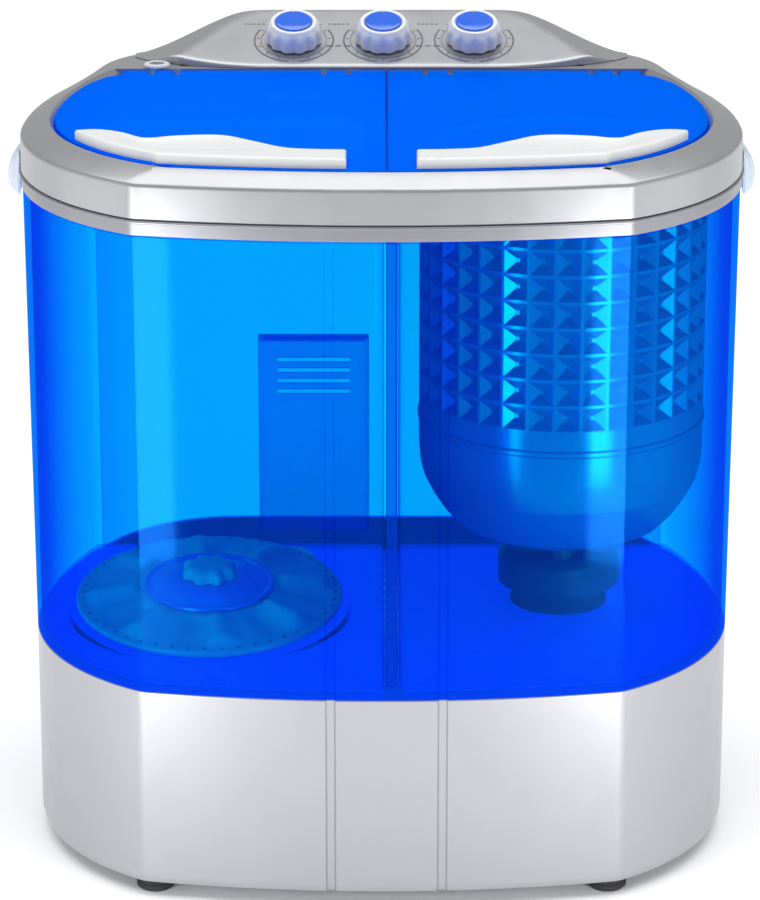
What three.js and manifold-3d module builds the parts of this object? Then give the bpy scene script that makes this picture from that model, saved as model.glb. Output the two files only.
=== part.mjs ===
// A portable twin tub washer: a translucent tub shell on a hollow base, a top ring with two lids, a rear
// control panel, a belt-driven pulsator in the left well and a direct-driven spin basket in the right well.
// Millimetres, +Z up, front towards -Y, right towards +X, origin on the floor under the machine's middle.
import * as THREE from 'three';
import { mergeVertices } from 'three/addons/utils/BufferGeometryUtils.js';
import Module from 'manifold-3d';

const wasm = await Module();
wasm.setup();

// ---- driving dimensions: the plan of the top ring ----
const HALF_WIDTH = 215;
const HALF_DEPTH = 165;
const WIDEST_Y = -20;
const CREASE_X = 143;
const BOW_DEPTH = 15;
const FLANK_RADIUS = 260;
const FLANK_SWEEP = THREE.MathUtils.degToRad(33);

// ---- driving dimensions: levels ----
const BASE_BOTTOM = 9;
const SEAM_Z = 132;
const SHELL_TOP = 411.3;
const JOINT_Z = 420.6;
const FACE_TOP = 442;
const RIM_TOP = 449.4;
const FLOOR_TOP = 135;
const DECK_TOP = 427;

// ---- driving dimensions: walls, gaps and plan stations ----
const GAP = 0.3;
const WALL = 2.6;
const SKIRT_INSET = 2.8;
const SHELL_TOP_INSET = 1.2;
const SPLIT_X = 3;
const PARTITION = 9;
const PARTITION_X = 6;
const WELL_REAR = 94;
const RECESS_REAR = 99.4;
const LID_REAR = 96;
const GROOVE_PITCH = 33;

// ---- driving dimensions: wash drive, in a frame whose floor leans forward ----
const WASH_AT = new THREE.Vector3(-106, -24, 145);
const WASH_TILT = THREE.MathUtils.degToRad(5.5);
const PULSATOR_R = 82;
const SHAFT_R = 5;
const MOTOR_OFFSET = 104;
const PULLEY_R = 38;
const MOTOR_PULLEY_R = 12;
const BELT_MID = -40;

// ---- driving dimensions: spin drive and drain ----
const SPIN_X = 110;
const SPIN_SHAFT_R = 6;
const BASKET_R = 87;
const BASKET_TOP = 408;
const DRAIN_X = -60;
const DRAIN_Y = 72;
const OUTLET_Z = 93;
const BRAKE_X = 146.5;
const BRAKE_Y = 45;

// ---- driving dimensions: panel, lids and feet ----
const FASCIA_TILT = THREE.MathUtils.degToRad(19.5);
const FASCIA_FRONT_Y = 99.8;
const FASCIA_FRONT_Z = 451.2;
const KNOB_Y = 127.5;
const KNOB_XS = [-55, 1, 58];
const HINGE_Y = 92;
const HINGE_Z = 443.5;
const HINGE_XS = { wash: [-135, -28], spin: [35, 138] };
const FOOT_X = 136;
const FOOT_R = 11.5;
const INLET_AT = [-140, 106];

const washer = new THREE.Group();

// ---- materials ----
const finish = (color, roughness, metalness = 0, extra = {}) =>
  new THREE.MeshStandardMaterial({ color, roughness, metalness, ...extra });
const silver = finish(0xc4c7ce, 0.38, 0.35);
const blueGlass = finish(0x0a6cf0, 0.12, 0, { transparent: true, opacity: 0.5 });
const white = finish(0xf2f4f4, 0.35);
const iceBlue = finish(0xdfe9f2, 0.3);
const knobBlue = finish(0x0a72e8, 0.15);
const pulsatorGrey = finish(0x5f7fa8, 0.4);
const clearPlastic = finish(0x9cc4f0, 0.1, 0, { transparent: true, opacity: 0.4 });
const blackPlastic = finish(0x14161c, 0.45);
const rubber = finish(0x1c1c1e, 0.85);
const steel = finish(0xb8bcc2, 0.3, 0.9);
const castAlloy = finish(0x8d9196, 0.5, 0.7);
const greyPlastic = finish(0x8f949a, 0.55);

// ---- solids ----
// A closed geometry as a solid: shared points are merged and slivers with a repeated corner are dropped.
function solid(geometry) {
  if (!(geometry instanceof THREE.BufferGeometry)) return geometry;
  const bare = geometry.clone();
  bare.deleteAttribute('normal');
  bare.deleteAttribute('uv');
  const merged = mergeVertices(bare);
  const corners = [];
  for (let i = 0; i < merged.index.count; i += 3) {
    const [a, b, c] = [0, 1, 2].map((k) => merged.index.getX(i + k));
    if (a !== b && b !== c && c !== a) corners.push(a, b, c);
  }
  const vertProperties = new Float32Array(merged.attributes.position.array);
  const triVerts = new Uint32Array(corners);
  return new wasm.Manifold(new wasm.Mesh({ numProp: 3, vertProperties, triVerts }));
}

function geometryOf(body) {
  const mesh = body.getMesh();
  const geometry = new THREE.BufferGeometry();
  geometry.setAttribute('position', new THREE.BufferAttribute(new Float32Array(mesh.vertProperties), 3));
  geometry.setIndex(new THREE.BufferAttribute(new Uint32Array(mesh.triVerts), 1));
  geometry.computeVertexNormals();
  return geometry;
}

const join = (...bodies) => bodies.map(solid).reduce((all, body) => all.add(body));
const cut = (body, ...tools) => tools.map(solid).reduce((all, tool) => all.subtract(tool), solid(body));
const overlap = (...bodies) => bodies.map(solid).reduce((all, body) => all.intersect(body));

function piece(name, body, material, parent = washer) {
  const mesh = new THREE.Mesh(geometryOf(solid(body)), material);
  mesh.name = name;
  parent.add(mesh);
}

// ---- shapes ----
function box(x0, x1, y0, y1, z0, z1) {
  const geometry = new THREE.BoxGeometry(x1 - x0, y1 - y0, z1 - z0);
  return geometry.translate((x0 + x1) / 2, (y0 + y1) / 2, (z0 + z1) / 2);
}

function cylinder(radius, z0, z1, x = 0, y = 0, sides = 18) {
  const geometry = new THREE.CylinderGeometry(radius, radius, z1 - z0, sides);
  return geometry.rotateX(Math.PI / 2).translate(x, y, (z0 + z1) / 2);
}

function cylinderAlongX(radius, x0, x1, y, z, sides = 10) {
  return cylinder(radius, x0, x1, 0, 0, sides).rotateY(Math.PI / 2).translate(0, y, z);
}

function cylinderAlongY(radius, y0, y1, x, z, sides = 16) {
  return cylinder(radius, y0, y1, 0, 0, sides).rotateX(-Math.PI / 2).translate(x, 0, z);
}

// A turned body from a loop of [radius, height] points, listed anticlockwise with the radius to the right.
function turned(profile, sides = 20, x = 0, y = 0) {
  const points = profile.map(([r, z]) => new THREE.Vector2(r, z));
  const onAxis = points[0].x === 0 && points.at(-1).x === 0;
  if (!onAxis) points.push(points[0].clone());
  return new THREE.LatheGeometry(points, sides).rotateX(Math.PI / 2).translate(x, y, 0);
}

// A body through stacked outlines of equal point counts, closed by a flat cap at each end.
function loft(sections) {
  const count = sections[0][1].length;
  const positions = sections.flatMap(([z, outline]) => outline.flatMap((p) => [p.x, p.y, z]));
  const index = [];
  for (let s = 0; s + 1 < sections.length; s++) {
    for (let i = 0; i < count; i++) {
      const a = s * count + i;
      const b = s * count + ((i + 1) % count);
      index.push(a, b, b + count, a, b + count, a + count);
    }
  }
  const top = (sections.length - 1) * count;
  for (const [a, b, c] of THREE.ShapeUtils.triangulateShape(sections[0][1], [])) index.push(a, c, b);
  for (const [a, b, c] of THREE.ShapeUtils.triangulateShape(sections.at(-1)[1], [])) {
    index.push(top + a, top + b, top + c);
  }
  const geometry = new THREE.BufferGeometry();
  geometry.setAttribute('position', new THREE.Float32BufferAttribute(positions, 3));
  geometry.setIndex(index);
  return geometry;
}

function slab(outline, z0, z1) {
  return loft([[z0, outline], [z1, outline]]);
}

// ---- the plan of the machine ----
function arc(cx, cy, radius, from, to, steps) {
  return Array.from({ length: steps }, (_, i) => {
    const angle = from + ((to - from) * i) / steps;
    return new THREE.Vector2(cx + radius * Math.cos(angle), cy + radius * Math.sin(angle));
  });
}

// The ring's outline: a shallow front bow between two creases, then shoulders, flanks and rear corners.
function planOutline() {
  const bowRadius = (CREASE_X ** 2 + BOW_DEPTH ** 2) / (2 * BOW_DEPTH);
  const bowAngle = Math.asin(CREASE_X / bowRadius);
  const side = HALF_WIDTH - CREASE_X;
  const rise = WIDEST_Y + HALF_DEPTH - BOW_DEPTH;
  const shoulderRadius = (side ** 2 + rise ** 2) / (2 * side);
  const shoulderAngle = Math.asin(rise / shoulderRadius);
  const flankX = HALF_WIDTH - FLANK_RADIUS;
  const flankEndX = flankX + FLANK_RADIUS * Math.cos(FLANK_SWEEP);
  const flankEndY = WIDEST_Y + FLANK_RADIUS * Math.sin(FLANK_SWEEP);
  const cornerRadius = (HALF_DEPTH - flankEndY) / (1 - Math.sin(FLANK_SWEEP));
  const cornerX = flankEndX - cornerRadius * Math.cos(FLANK_SWEEP);
  const cornerY = HALF_DEPTH - cornerRadius;
  const quarter = Math.PI / 2;
  const right = [
    ...arc(0, bowRadius - HALF_DEPTH, bowRadius, -quarter, bowAngle - quarter, 3),
    ...arc(HALF_WIDTH - shoulderRadius, WIDEST_Y, shoulderRadius, -shoulderAngle, 0, 6),
    ...arc(flankX, WIDEST_Y, FLANK_RADIUS, 0, FLANK_SWEEP, 3),
    ...arc(cornerX, cornerY, cornerRadius, FLANK_SWEEP, quarter, 4),
    new THREE.Vector2(cornerX, HALF_DEPTH),
  ];
  const left = right.slice(1).map((p) => new THREE.Vector2(-p.x, p.y));
  return [...right, ...left.reverse()];
}

const PLAN = planOutline();
const isFront = (p) => p.y < -HALF_DEPTH + BOW_DEPTH + 1 && Math.abs(p.x) < CREASE_X - 1;

// The plan pulled in by a distance, which may differ between the front and the sides or vary over the plan.
function inset(amount, front = amount) {
  const far = typeof amount === 'function' ? amount : (p) => (isFront(p) ? front : amount);
  return PLAN.map((p, i) => {
    const before = PLAN[(i + PLAN.length - 1) % PLAN.length];
    const after = PLAN[(i + 1) % PLAN.length];
    const edges = [p.clone().sub(before), after.clone().sub(p)];
    const inward = edges.map((d) => new THREE.Vector2(-d.y, d.x).normalize());
    const mitre = inward[0].clone().add(inward[1]).normalize();
    return p.clone().addScaledVector(mitre, far(p) / mitre.dot(inward[0]));
  });
}

// Two shallow full-height grooves down the front of the shell and the base.
function frontGrooves(z0, z1) {
  const depthY = -HALF_DEPTH + SKIRT_INSET + 1.8;
  return [-1, 1].map((s) => {
    const x = SPLIT_X + s * GROOVE_PITCH;
    return box(x - 2.5, x + 2.5, -HALF_DEPTH - 10, depthY, z0, z1);
  });
}

// ---- the leaning frame of the wash drive ----
const washDrive = new THREE.Group();
washDrive.position.copy(WASH_AT);
washDrive.rotation.x = WASH_TILT;
washDrive.updateMatrix();
washer.add(washDrive);
const leaned = (geometry) => geometry.applyMatrix4(washDrive.matrix);

// ---- base ----
const BASE_WALL = SKIRT_INSET + WALL;
const REAR_FACE = HALF_DEPTH - SKIRT_INSET;
const COVER = { x0: -32, x1: 92, z0: 28, z1: 106 };
const COVER_SCREW_XS = [COVER.x0 + 6, COVER.x1 - 6];
const COVER_SCREW_Z = (COVER.z0 + COVER.z1) / 2;
const GLAND = { x: -60, z: 48, r: 6 };

function baseHousing() {
  const outer = loft([
    [BASE_BOTTOM, inset(SKIRT_INSET + 1.6)],
    [BASE_BOTTOM + 3, inset(SKIRT_INSET)],
    [SEAM_Z - GAP / 2, inset(SKIRT_INSET)],
  ]);
  const hollow = slab(inset(BASE_WALL), BASE_BOTTOM - 1, SEAM_Z + 1);
  const behind = REAR_FACE - 8;
  const service = box(COVER.x0 + 12, COVER.x1 - 12, behind, REAR_FACE + 8, COVER.z0 + 8, COVER.z1 - 8);
  const outletHole = cylinderAlongY(10.5, behind, REAR_FACE + 8, DRAIN_X, OUTLET_Z);
  const glandHole = cylinderAlongY(GLAND.r + GAP, behind, REAR_FACE + 8, GLAND.x, GLAND.z);
  const screwHole = (x) => cylinderAlongY(1.8, behind, REAR_FACE + 8, x, COVER_SCREW_Z, 10);
  const screwHoles = COVER_SCREW_XS.map(screwHole);
  const grooves = frontGrooves(BASE_BOTTOM - 1, SEAM_Z + 1);
  return cut(outer, hollow, service, outletHole, glandHole, ...screwHoles, ...grooves);
}

const PLATE_BOTTOM = BASE_BOTTOM + 2.3;
const PLATE_TOP = PLATE_BOTTOM + 3;

// The bottom plate carries the motors and a post that the brake lever turns on.
function basePlate() {
  const post = cylinder(3, PLATE_TOP - 1, 121, BRAKE_X, BRAKE_Y, 16);
  return join(slab(inset(BASE_WALL + 0.4), PLATE_BOTTOM, PLATE_TOP), post);
}

function foot() {
  const top = PLATE_BOTTOM - GAP;
  return turned([[0, 0], [FOOT_R - 1.2, 0], [FOOT_R, 1.2], [FOOT_R - 0.6, top], [0, top]], 16);
}

function rearCover() {
  const plate = box(COVER.x0, COVER.x1, REAR_FACE + GAP, HALF_DEPTH - 0.2, COVER.z0, COVER.z1);
  const bores = (radius, y0) =>
    COVER_SCREW_XS.map((x) => cylinderAlongY(radius, y0, HALF_DEPTH + 1, x, COVER_SCREW_Z, 12));
  return cut(plate, ...bores(1.8, REAR_FACE - 1), ...bores(3.6, REAR_FACE + 1.4));
}

function coverScrew(x) {
  const shank = cylinderAlongY(1.4, REAR_FACE - 9, REAR_FACE + 2, x, COVER_SCREW_Z, 10);
  return join(shank, cylinderAlongY(3.2, REAR_FACE + 1.7, HALF_DEPTH - 0.1, x, COVER_SCREW_Z, 14));
}

function cableGland() {
  const flange = cylinderAlongY(10, REAR_FACE + GAP, REAR_FACE + 2.6, GLAND.x, GLAND.z);
  const neck = cylinderAlongY(GLAND.r, REAR_FACE - 16, REAR_FACE + 1, GLAND.x, GLAND.z);
  return cut(join(flange, neck), cylinderAlongY(3.4, REAR_FACE - 20, REAR_FACE + 5, GLAND.x, GLAND.z, 14));
}

// ---- tub shell: the outer wall, the two wells, the partition and the service duct behind them ----
function tubShell() {
  const outer = loft([[SEAM_Z + GAP / 2, inset(SKIRT_INSET)], [SHELL_TOP - GAP / 2, inset(SHELL_TOP_INSET)]]);
  const inside = (z0, z1) => loft([[z0, inset(BASE_WALL)], [z1, inset(SHELL_TOP_INSET + WALL)]]);
  const wells = inside(FLOOR_TOP, SHELL_TOP + 1);
  const far = 300;
  const washWell = overlap(wells, box(-far, PARTITION_X - PARTITION / 2, -far, WELL_REAR, 0, far * 2));
  const spinWell = overlap(wells, box(PARTITION_X + PARTITION / 2, far, -far, WELL_REAR, 0, far * 2));
  const duct = overlap(inside(SEAM_Z - 1, SHELL_TOP + 1), box(-far, far, WELL_REAR + WALL, far, 0, far * 2));
  const seat = overlap(leaned(cylinder(PULSATOR_R + 5, -30, -2, 0, 0, 32)), outer);
  const underSeat = leaned(cylinder(PULSATOR_R + 2.4, -40, -4.6, 0, 0, 32));
  const bearingHole = leaned(cylinder(14.4, -40, 10, 0, 0, 24));
  const sealHole = cylinder(24.4, SEAM_Z - 5, FLOOR_TOP + 5, SPIN_X, 0);
  const drainHole = cylinder(11, SEAM_Z - 5, FLOOR_TOP + 5, DRAIN_X, DRAIN_Y, 20);
  const hollowed = join(cut(outer, washWell, spinWell, duct), seat);
  const grooves = frontGrooves(SEAM_Z - 1, SHELL_TOP + 1);
  return cut(hollowed, underSeat, bearingHole, sealHole, drainHole, ...grooves);
}

function trimBand() {
  const [z0, z1] = [SHELL_TOP + GAP / 2, JOINT_Z - GAP / 2];
  return cut(slab(inset(0.4), z0, z1), slab(inset(8), z0 - 1, z1 + 1));
}

// ---- top frame ----
const RIM_FRONT = 15.5;
const RIM_SIDE = 20;
const OPEN_WASH = { x0: -176, x1: -10, y0: -122, y1: 76, corner: 34 };
const OPEN_SPIN_R = 82;

// The sloping top of the ring is widest at the sides and fades out towards the rear corners.
function rimInset(p) {
  if (isFront(p)) return RIM_FRONT;
  const fade = THREE.MathUtils.smoothstep(p.y, 50, 125);
  return THREE.MathUtils.lerp(RIM_SIDE, 3, fade);
}

function roundedRectangle({ x0, x1, y0, y1, corner }, steps = 5) {
  const quarter = Math.PI / 2;
  const [left, right, front, rear] = [x0 + corner, x1 - corner, y0 + corner, y1 - corner];
  const centres = [[right, front], [right, rear], [left, rear], [left, front]];
  return centres.flatMap(([x, y], i) => arc(x, y, corner, (i - 1) * quarter, i * quarter, steps));
}

function hingeBosses() {
  const near = [6.3, 9.5];
  return [...HINGE_XS.wash, ...HINGE_XS.spin].flatMap((x) =>
    [-1, 1].map((s) => {
      const [x0, x1] = near.map((d) => x + s * d).sort((a, b) => a - b);
      return box(x0, x1, HINGE_Y - 3.5, RECESS_REAR + 1, HINGE_Z - 4, HINGE_Z + 3);
    }),
  );
}

function topFrame() {
  const z0 = JOINT_Z + GAP / 2;
  const outer = loft([[z0, inset(0.2)], [FACE_TOP, inset(0.4)], [RIM_TOP, inset(rimInset)]]);
  const under = slab(inset(3.4), z0 - 1, DECK_TOP - 3);
  const channelRoof = [
    [DECK_TOP - 4, inset(3.4)], [FACE_TOP - 2, inset(3.6)], [RIM_TOP - 3, inset(14, 10.5)],
  ];
  const upTo = (y) => box(-300, 300, -300, y, 0, 600);
  const recessWall = overlap(slab(inset(17.5, 13), z0 - 2, RIM_TOP), upTo(RECESS_REAR + 3));
  const channel = cut(loft(channelRoof), recessWall);
  const recess = overlap(slab(inset(20.4, 15.9), DECK_TOP, RIM_TOP + 5), upTo(RECESS_REAR));
  const washOpening = slab(roundedRectangle(OPEN_WASH), z0 - 1, DECK_TOP + 1);
  const spinOpening = cylinder(OPEN_SPIN_R, z0 - 1, DECK_TOP + 1, SPIN_X, 0, 32);
  const timerOpening = box(-126, 126, 107, 151, DECK_TOP, RIM_TOP + 5);
  const inletHole = cylinder(6, DECK_TOP, RIM_TOP + 5, ...INLET_AT, 18);
  const pinHole = cylinderAlongX(2.3, -150, 150, HINGE_Y, HINGE_Z);
  const shell = cut(outer, under, channel, recess, washOpening, spinOpening, timerOpening, inletHole);
  return cut(join(shell, ...hingeBosses()), pinHole);
}

function waterInlet() {
  const collar = turned([
    [4.6, RIM_TOP - 14], [5.7, RIM_TOP - 14], [5.7, RIM_TOP + GAP], [8.3, RIM_TOP + GAP],
    [8.3, RIM_TOP + 1.6], [7.4, RIM_TOP + 2.4], [5.4, RIM_TOP + 2.4], [4.6, RIM_TOP + 1.6],
  ], 14);
  return collar.translate(...INLET_AT, 0);
}

const GRIP_Y = 16;
const GRIP_REACH_Y = 48;

// A lifting ledge on each side, a quarter round in section and faded out along the flank.
function sideGrip(side) {
  const reach = 9;
  const fade = (p) => THREE.MathUtils.smoothstep(GRIP_REACH_Y + 4 - Math.abs(p.y - GRIP_Y), 0, 26);
  const bulge = (depth) => inset((p) => -depth * fade(p));
  const [low, high] = [404, 429];
  const body = loft([
    [low, bulge(reach - 0.6)], [low + 2, bulge(reach)], [low + 11, bulge(reach - 0.4)],
    [low + 18, bulge(reach - 2.6)], [low + 23, bulge(reach - 6)], [high, bulge(GAP + 0.6)],
  ]);
  const [x0, x1] = side > 0 ? [150, 300] : [-300, -150];
  const beside = box(x0, x1, GRIP_Y - GRIP_REACH_Y, GRIP_Y + GRIP_REACH_Y, 0, 600);
  return cut(overlap(body, beside), slab(inset(-GAP), low - 1, high + 1));
}

// ---- lids ----
const LID_TOP = RIM_TOP - 0.2;
const LID_PLATE = 2.8;
const LID_CORNER_X = 160.8;
const HANDLE_BASE = LID_TOP + GAP;
const HANDLE_TOP = HANDLE_BASE + 6;

// A lid's limits in plan: the split, the rear edge and a rear corner trimmed to swing clear of the ring.
function lidLimit(side, inward) {
  const sign = side === 'wash' ? -1 : 1;
  const split = SPLIT_X + sign * (0.4 + inward);
  const rear = LID_REAR - inward;
  const x = LID_CORNER_X - inward;
  const corner = [[x, rear], [x, 86], [x + 9.4, 79], [x + 16.6, 66]];
  const beyond = [[300, 60], [300, -300]];
  const outer = [...corner, ...beyond].map((p) => [sign * p[0], p[1]]);
  const outline = [[split, -300], [split, rear], ...outer].map((p) => new THREE.Vector2(p[0], p[1]));
  if (THREE.ShapeUtils.isClockWise(outline)) outline.reverse();
  return slab(outline, 0, 600);
}

// One lid: a plate with a rim turned down around it, and a notch and a knuckle at each hinge.
function lid(side) {
  const tray = loft([
    [DECK_TOP + 13, inset(20.9, 16.4)], [LID_TOP - 1, inset(20.9, 16.4)], [LID_TOP, inset(21.9, 17.4)],
  ]);
  const hollow = slab(inset(23.3, 18.8), DECK_TOP, LID_TOP - LID_PLATE);
  const plate = cut(overlap(tray, lidLimit(side, 0)), overlap(hollow, lidLimit(side, 2.4)));
  const notches = HINGE_XS[side].flatMap((x) =>
    [-1, 1].map((s) => {
      const [x0, x1] = [x + s * 6, x + s * 9.8].sort((a, b) => a - b);
      return box(x0, x1, HINGE_Y - 7.5, LID_REAR + 2, DECK_TOP, RIM_TOP + 2);
    }),
  );
  const knuckles = HINGE_XS[side].map((x) => cylinderAlongX(3.9, x - 5.9, x + 5.9, HINGE_Y, HINGE_Z));
  const bore = cylinderAlongX(2.3, HINGE_XS[side][0] - 20, HINGE_XS[side][1] + 20, HINGE_Y, HINGE_Z);
  return cut(join(cut(plate, ...notches), ...knuckles), bore);
}

function hingeRod(side) {
  const [x0, x1] = HINGE_XS[side];
  return cylinderAlongX(2, x0 - 9.2, x1 + 9.2, HINGE_Y, HINGE_Z, 12);
}

// The handle along a lid's front: its rear edge is a smooth wave and its front edge follows the ring.
function lidHandle(side) {
  const mirror = side === 'wash' ? 1 : -1;
  const wave = new THREE.SplineCurve([
    [-178, -79], [-165, -77], [-150, -84], [-137, -96], [-118, -91],
    [-92, -90], [-76, -102], [-56, -119], [-38, -123], [-20, -124],
  ].map(([x, y]) => new THREE.Vector2(mirror * x, y)));
  const outline = [
    ...wave.getPoints(24), new THREE.Vector2(mirror * -20, -200), new THREE.Vector2(mirror * -178, -200),
  ];
  if (THREE.ShapeUtils.isClockWise(outline)) outline.reverse();
  const blank = loft([
    [HANDLE_BASE, inset(23, 18)], [HANDLE_TOP - 1.2, inset(23, 18)], [HANDLE_TOP, inset(24.4, 19.4)],
  ]);
  return overlap(slab(outline, HANDLE_BASE, HANDLE_TOP), blank);
}

// ---- control panel ----
const CROWN_TOP = 474.6;
const CROWN_FLAT = 70;
const CROWN_END = 158;
const PANEL_BASE = RIM_TOP + GAP;
const fasciaZ = (y) => FASCIA_FRONT_Z + (y - FASCIA_FRONT_Y) * Math.tan(FASCIA_TILT);

function crownZ(x) {
  const t = THREE.MathUtils.clamp((Math.abs(x) - CROWN_FLAT) / (CROWN_END - CROWN_FLAT), 0, 1);
  return PANEL_BASE + ((CROWN_TOP - PANEL_BASE) * (1 + Math.cos(Math.PI * t))) / 2;
}

// The panel's mound, drawn in by a wall thickness: its plan, its crown seen from the front and its fascia.
function panelMound(wall, bottom) {
  const steps = 9;
  const corner = [90 - wall, 46 - wall / 2];
  const right = Array.from({ length: steps + 1 }, (_, i) => {
    const t = (Math.PI / 2) * (i / steps);
    const y = FASCIA_FRONT_Y + wall + corner[1] * (1 - Math.cos(t));
    return new THREE.Vector2(CROWN_FLAT + corner[0] * Math.sin(t), y);
  });
  const left = right.map((p) => new THREE.Vector2(-p.x, p.y)).reverse();
  const front = [...left, ...right];
  const plan = [...front, new THREE.Vector2(right.at(-1).x, 200), new THREE.Vector2(-right.at(-1).x, 200)];
  const crown = new THREE.Shape();
  const span = CROWN_END - wall;
  crown.moveTo(-span, bottom);
  crown.lineTo(span, bottom);
  const count = 28;
  for (let i = 0; i <= count; i++) {
    const x = span - (2 * span * i) / count;
    crown.lineTo(x, Math.max(crownZ(x) - wall, bottom + 0.2));
  }
  const crownBody = new THREE.ExtrudeGeometry(crown, { depth: 120, bevelEnabled: false, steps: 1 });
  crownBody.rotateX(Math.PI / 2).translate(0, 200, 0);
  const below = box(-300, 300, -200, 200, -200, -wall).applyMatrix4(fasciaMatrix(0, FASCIA_FRONT_Y));
  const above = CROWN_TOP + 5;
  return overlap(slab(plan, bottom, above), slab(inset(2 + wall), bottom, above), crownBody, below);
}

// The frame of a point on the fascia: +Z is the fascia's outward normal.
function fasciaMatrix(x, y) {
  const lean = new THREE.Matrix4().makeRotationX(FASCIA_TILT);
  return new THREE.Matrix4().makeTranslation(x, y, fasciaZ(y)).multiply(lean);
}

function controlPanel() {
  const shell = cut(panelMound(0, PANEL_BASE), panelMound(WALL, PANEL_BASE - 5));
  const holes = KNOB_XS.map((x) => cylinder(3.7, -12, 12, 0, 0, 14).applyMatrix4(fasciaMatrix(x, KNOB_Y)));
  return cut(shell, ...holes);
}

// ---- knobs, in the fascia frame ----
function scalloped(radius, depth, lobes, steps) {
  return Array.from({ length: steps }, (_, i) => {
    const angle = (2 * Math.PI * i) / steps;
    const r = radius - depth * (0.5 + 0.5 * Math.cos(lobes * angle));
    return new THREE.Vector2(r * Math.cos(angle), r * Math.sin(angle));
  });
}

function knob() {
  const [r, top] = [17.7, 14.2];
  const grip = loft([
    [0.8, scalloped(r, 0.8, 12, 36)], [8.6, scalloped(r, 1.2, 12, 36)],
    [11.6, scalloped(r - 1.6, 0.6, 12, 36)], [top, scalloped(14.6, 0, 12, 36)],
  ]);
  const stem = cylinder(3.2, -3.2, 2, 0, 0, 14);
  return join(cut(grip, cylinder(12, top - 1.4, top + 1, 0, 0, 24)), stem);
}

function knobCap() {
  const disc = turned([[0, 13.1], [11.6, 13.1], [11.6, 14.1], [10.8, 14.8], [0, 15.2]], 24);
  return cut(disc, box(-0.9, 0.9, 8.6, 13, 12, 17));
}

function timerBody() {
  return turned([[0, -32], [15, -32], [17, -30], [17, -5], [12, -5], [12, -3.6], [0, -3.6]], 16);
}

function selectorBody() {
  return join(box(-16, 16, -12, 12, -24, -5), cylinder(9, -6, -3.6, 0, 0, 20));
}

// ---- wash drive, in the leaning frame ----
function pulsator() {
  const disc = turned([
    [5.3, -1], [13, -1], [14, 4.4], [42, 5.2], [77, 1], [77, -0.8], [80.6, -0.8], [PULSATOR_R, 0.6],
    [PULSATOR_R, 2.2], [80, 3.4], [42, 8.6], [2.5, 8.6], [2.5, 6], [5.3, 6],
  ], 32);
  const vanes = 8;
  const ridges = Array.from({ length: vanes }, (_, i) =>
    box(45, 75, -3, 3, 3, 7.6).rotateZ((2 * Math.PI * i) / vanes),
  );
  return join(disc, ...ridges);
}

function pulsatorCap() {
  return turned([[2.8, 8.9], [40, 8.9], [40, 10.4], [30, 13], [18, 15], [2.8, 15]], 24);
}

function pulsatorKnob() {
  const lobes = loft([
    [15.3, scalloped(17, 3, 8, 32)], [20, scalloped(16.4, 3, 8, 32)], [23, scalloped(13, 2.4, 8, 32)],
  ]);
  return cut(lobes, cylinder(5.6, 15, 19.4, 0, 0, 16));
}

function pulsatorScrew() {
  return turned([[0, -6], [2.2, -6], [2.2, 15.3], [5.2, 15.3], [5.2, 18.4], [0, 18.8]], 12);
}

function washShaft() {
  return turned([[0, -50], [SHAFT_R, -50], [SHAFT_R, 5.7], [2.5, 5.7], [2.5, -8], [0, -8]], 14);
}

function washBearing() {
  return turned([
    [5.3, -26], [14, -26], [14, -8.2], [20, -8.2], [20, -4.9], [14, -4.9], [14, -2.3], [5.3, -2.3],
  ], 18);
}

// A flanged belt pulley about the belt's middle plane, with a hub at each side.
function pulley(grooveRadius, bore, hub, sides) {
  const flange = grooveRadius + 4;
  const z = (dz) => BELT_MID + dz;
  return turned([
    [bore, z(-8)], [hub, z(-8)], [hub, z(-6)], [flange, z(-6)], [flange, z(-4.4)], [grooveRadius, z(-3)],
    [grooveRadius, z(3)], [flange, z(4.4)], [flange, z(6)], [hub, z(6)], [hub, z(8)], [bore, z(8)],
  ], sides);
}

function beltLoop(offset) {
  const tangent = Math.acos((PULLEY_R - MOTOR_PULLEY_R) / MOTOR_OFFSET);
  const far = arc(0, 0, PULLEY_R + offset, tangent, 2 * Math.PI - tangent, 20);
  const near = arc(MOTOR_OFFSET, 0, MOTOR_PULLEY_R + offset, -tangent, tangent, 10);
  return [...far, ...near];
}

function driveBelt() {
  const outer = slab(beltLoop(4), BELT_MID - 2.6, BELT_MID + 2.6);
  return cut(outer, slab(beltLoop(0.9), BELT_MID - 4, BELT_MID + 4));
}

function washMotor() {
  return turned([
    [0, -122], [30, -122], [38, -116], [38, -62], [31, -56],
    [10, -56], [10, -52], [4.4, -52], [4.4, -64], [0, -64],
  ], 20, MOTOR_OFFSET);
}

// The motor's pulley with the rotor shaft that carries it.
function washMotorPulley() {
  const z = (dz) => BELT_MID + dz;
  const flange = MOTOR_PULLEY_R + 4;
  const wheel = turned([
    [0, -62], [4, -62], [4, z(-8)], [8, z(-8)], [8, z(-6)], [flange, z(-6)], [flange, z(-4.4)],
    [MOTOR_PULLEY_R, z(-3)], [MOTOR_PULLEY_R, z(3)], [flange, z(4.4)], [flange, z(6)], [0, z(6)],
  ], 16);
  return wheel.translate(MOTOR_OFFSET, 0, 0);
}

// The motor's cradle, cut level where it stands on the bottom plate.
function washMotorMount() {
  const ring = turned([[38.4, -142], [44, -142], [44, -106], [38.4, -106]], 20, MOTOR_OFFSET);
  const plate = box(-400, 400, -400, 400, -200, PLATE_TOP + GAP);
  plate.applyMatrix4(washDrive.matrix.clone().invert());
  return cut(ring, plate);
}

function capacitor() {
  const z0 = PLATE_TOP + GAP;
  return turned([[0, z0], [16, z0], [16, 60], [14, 62], [5, 62], [5, 66], [0, 66]], 16, -20, 110);
}

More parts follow.
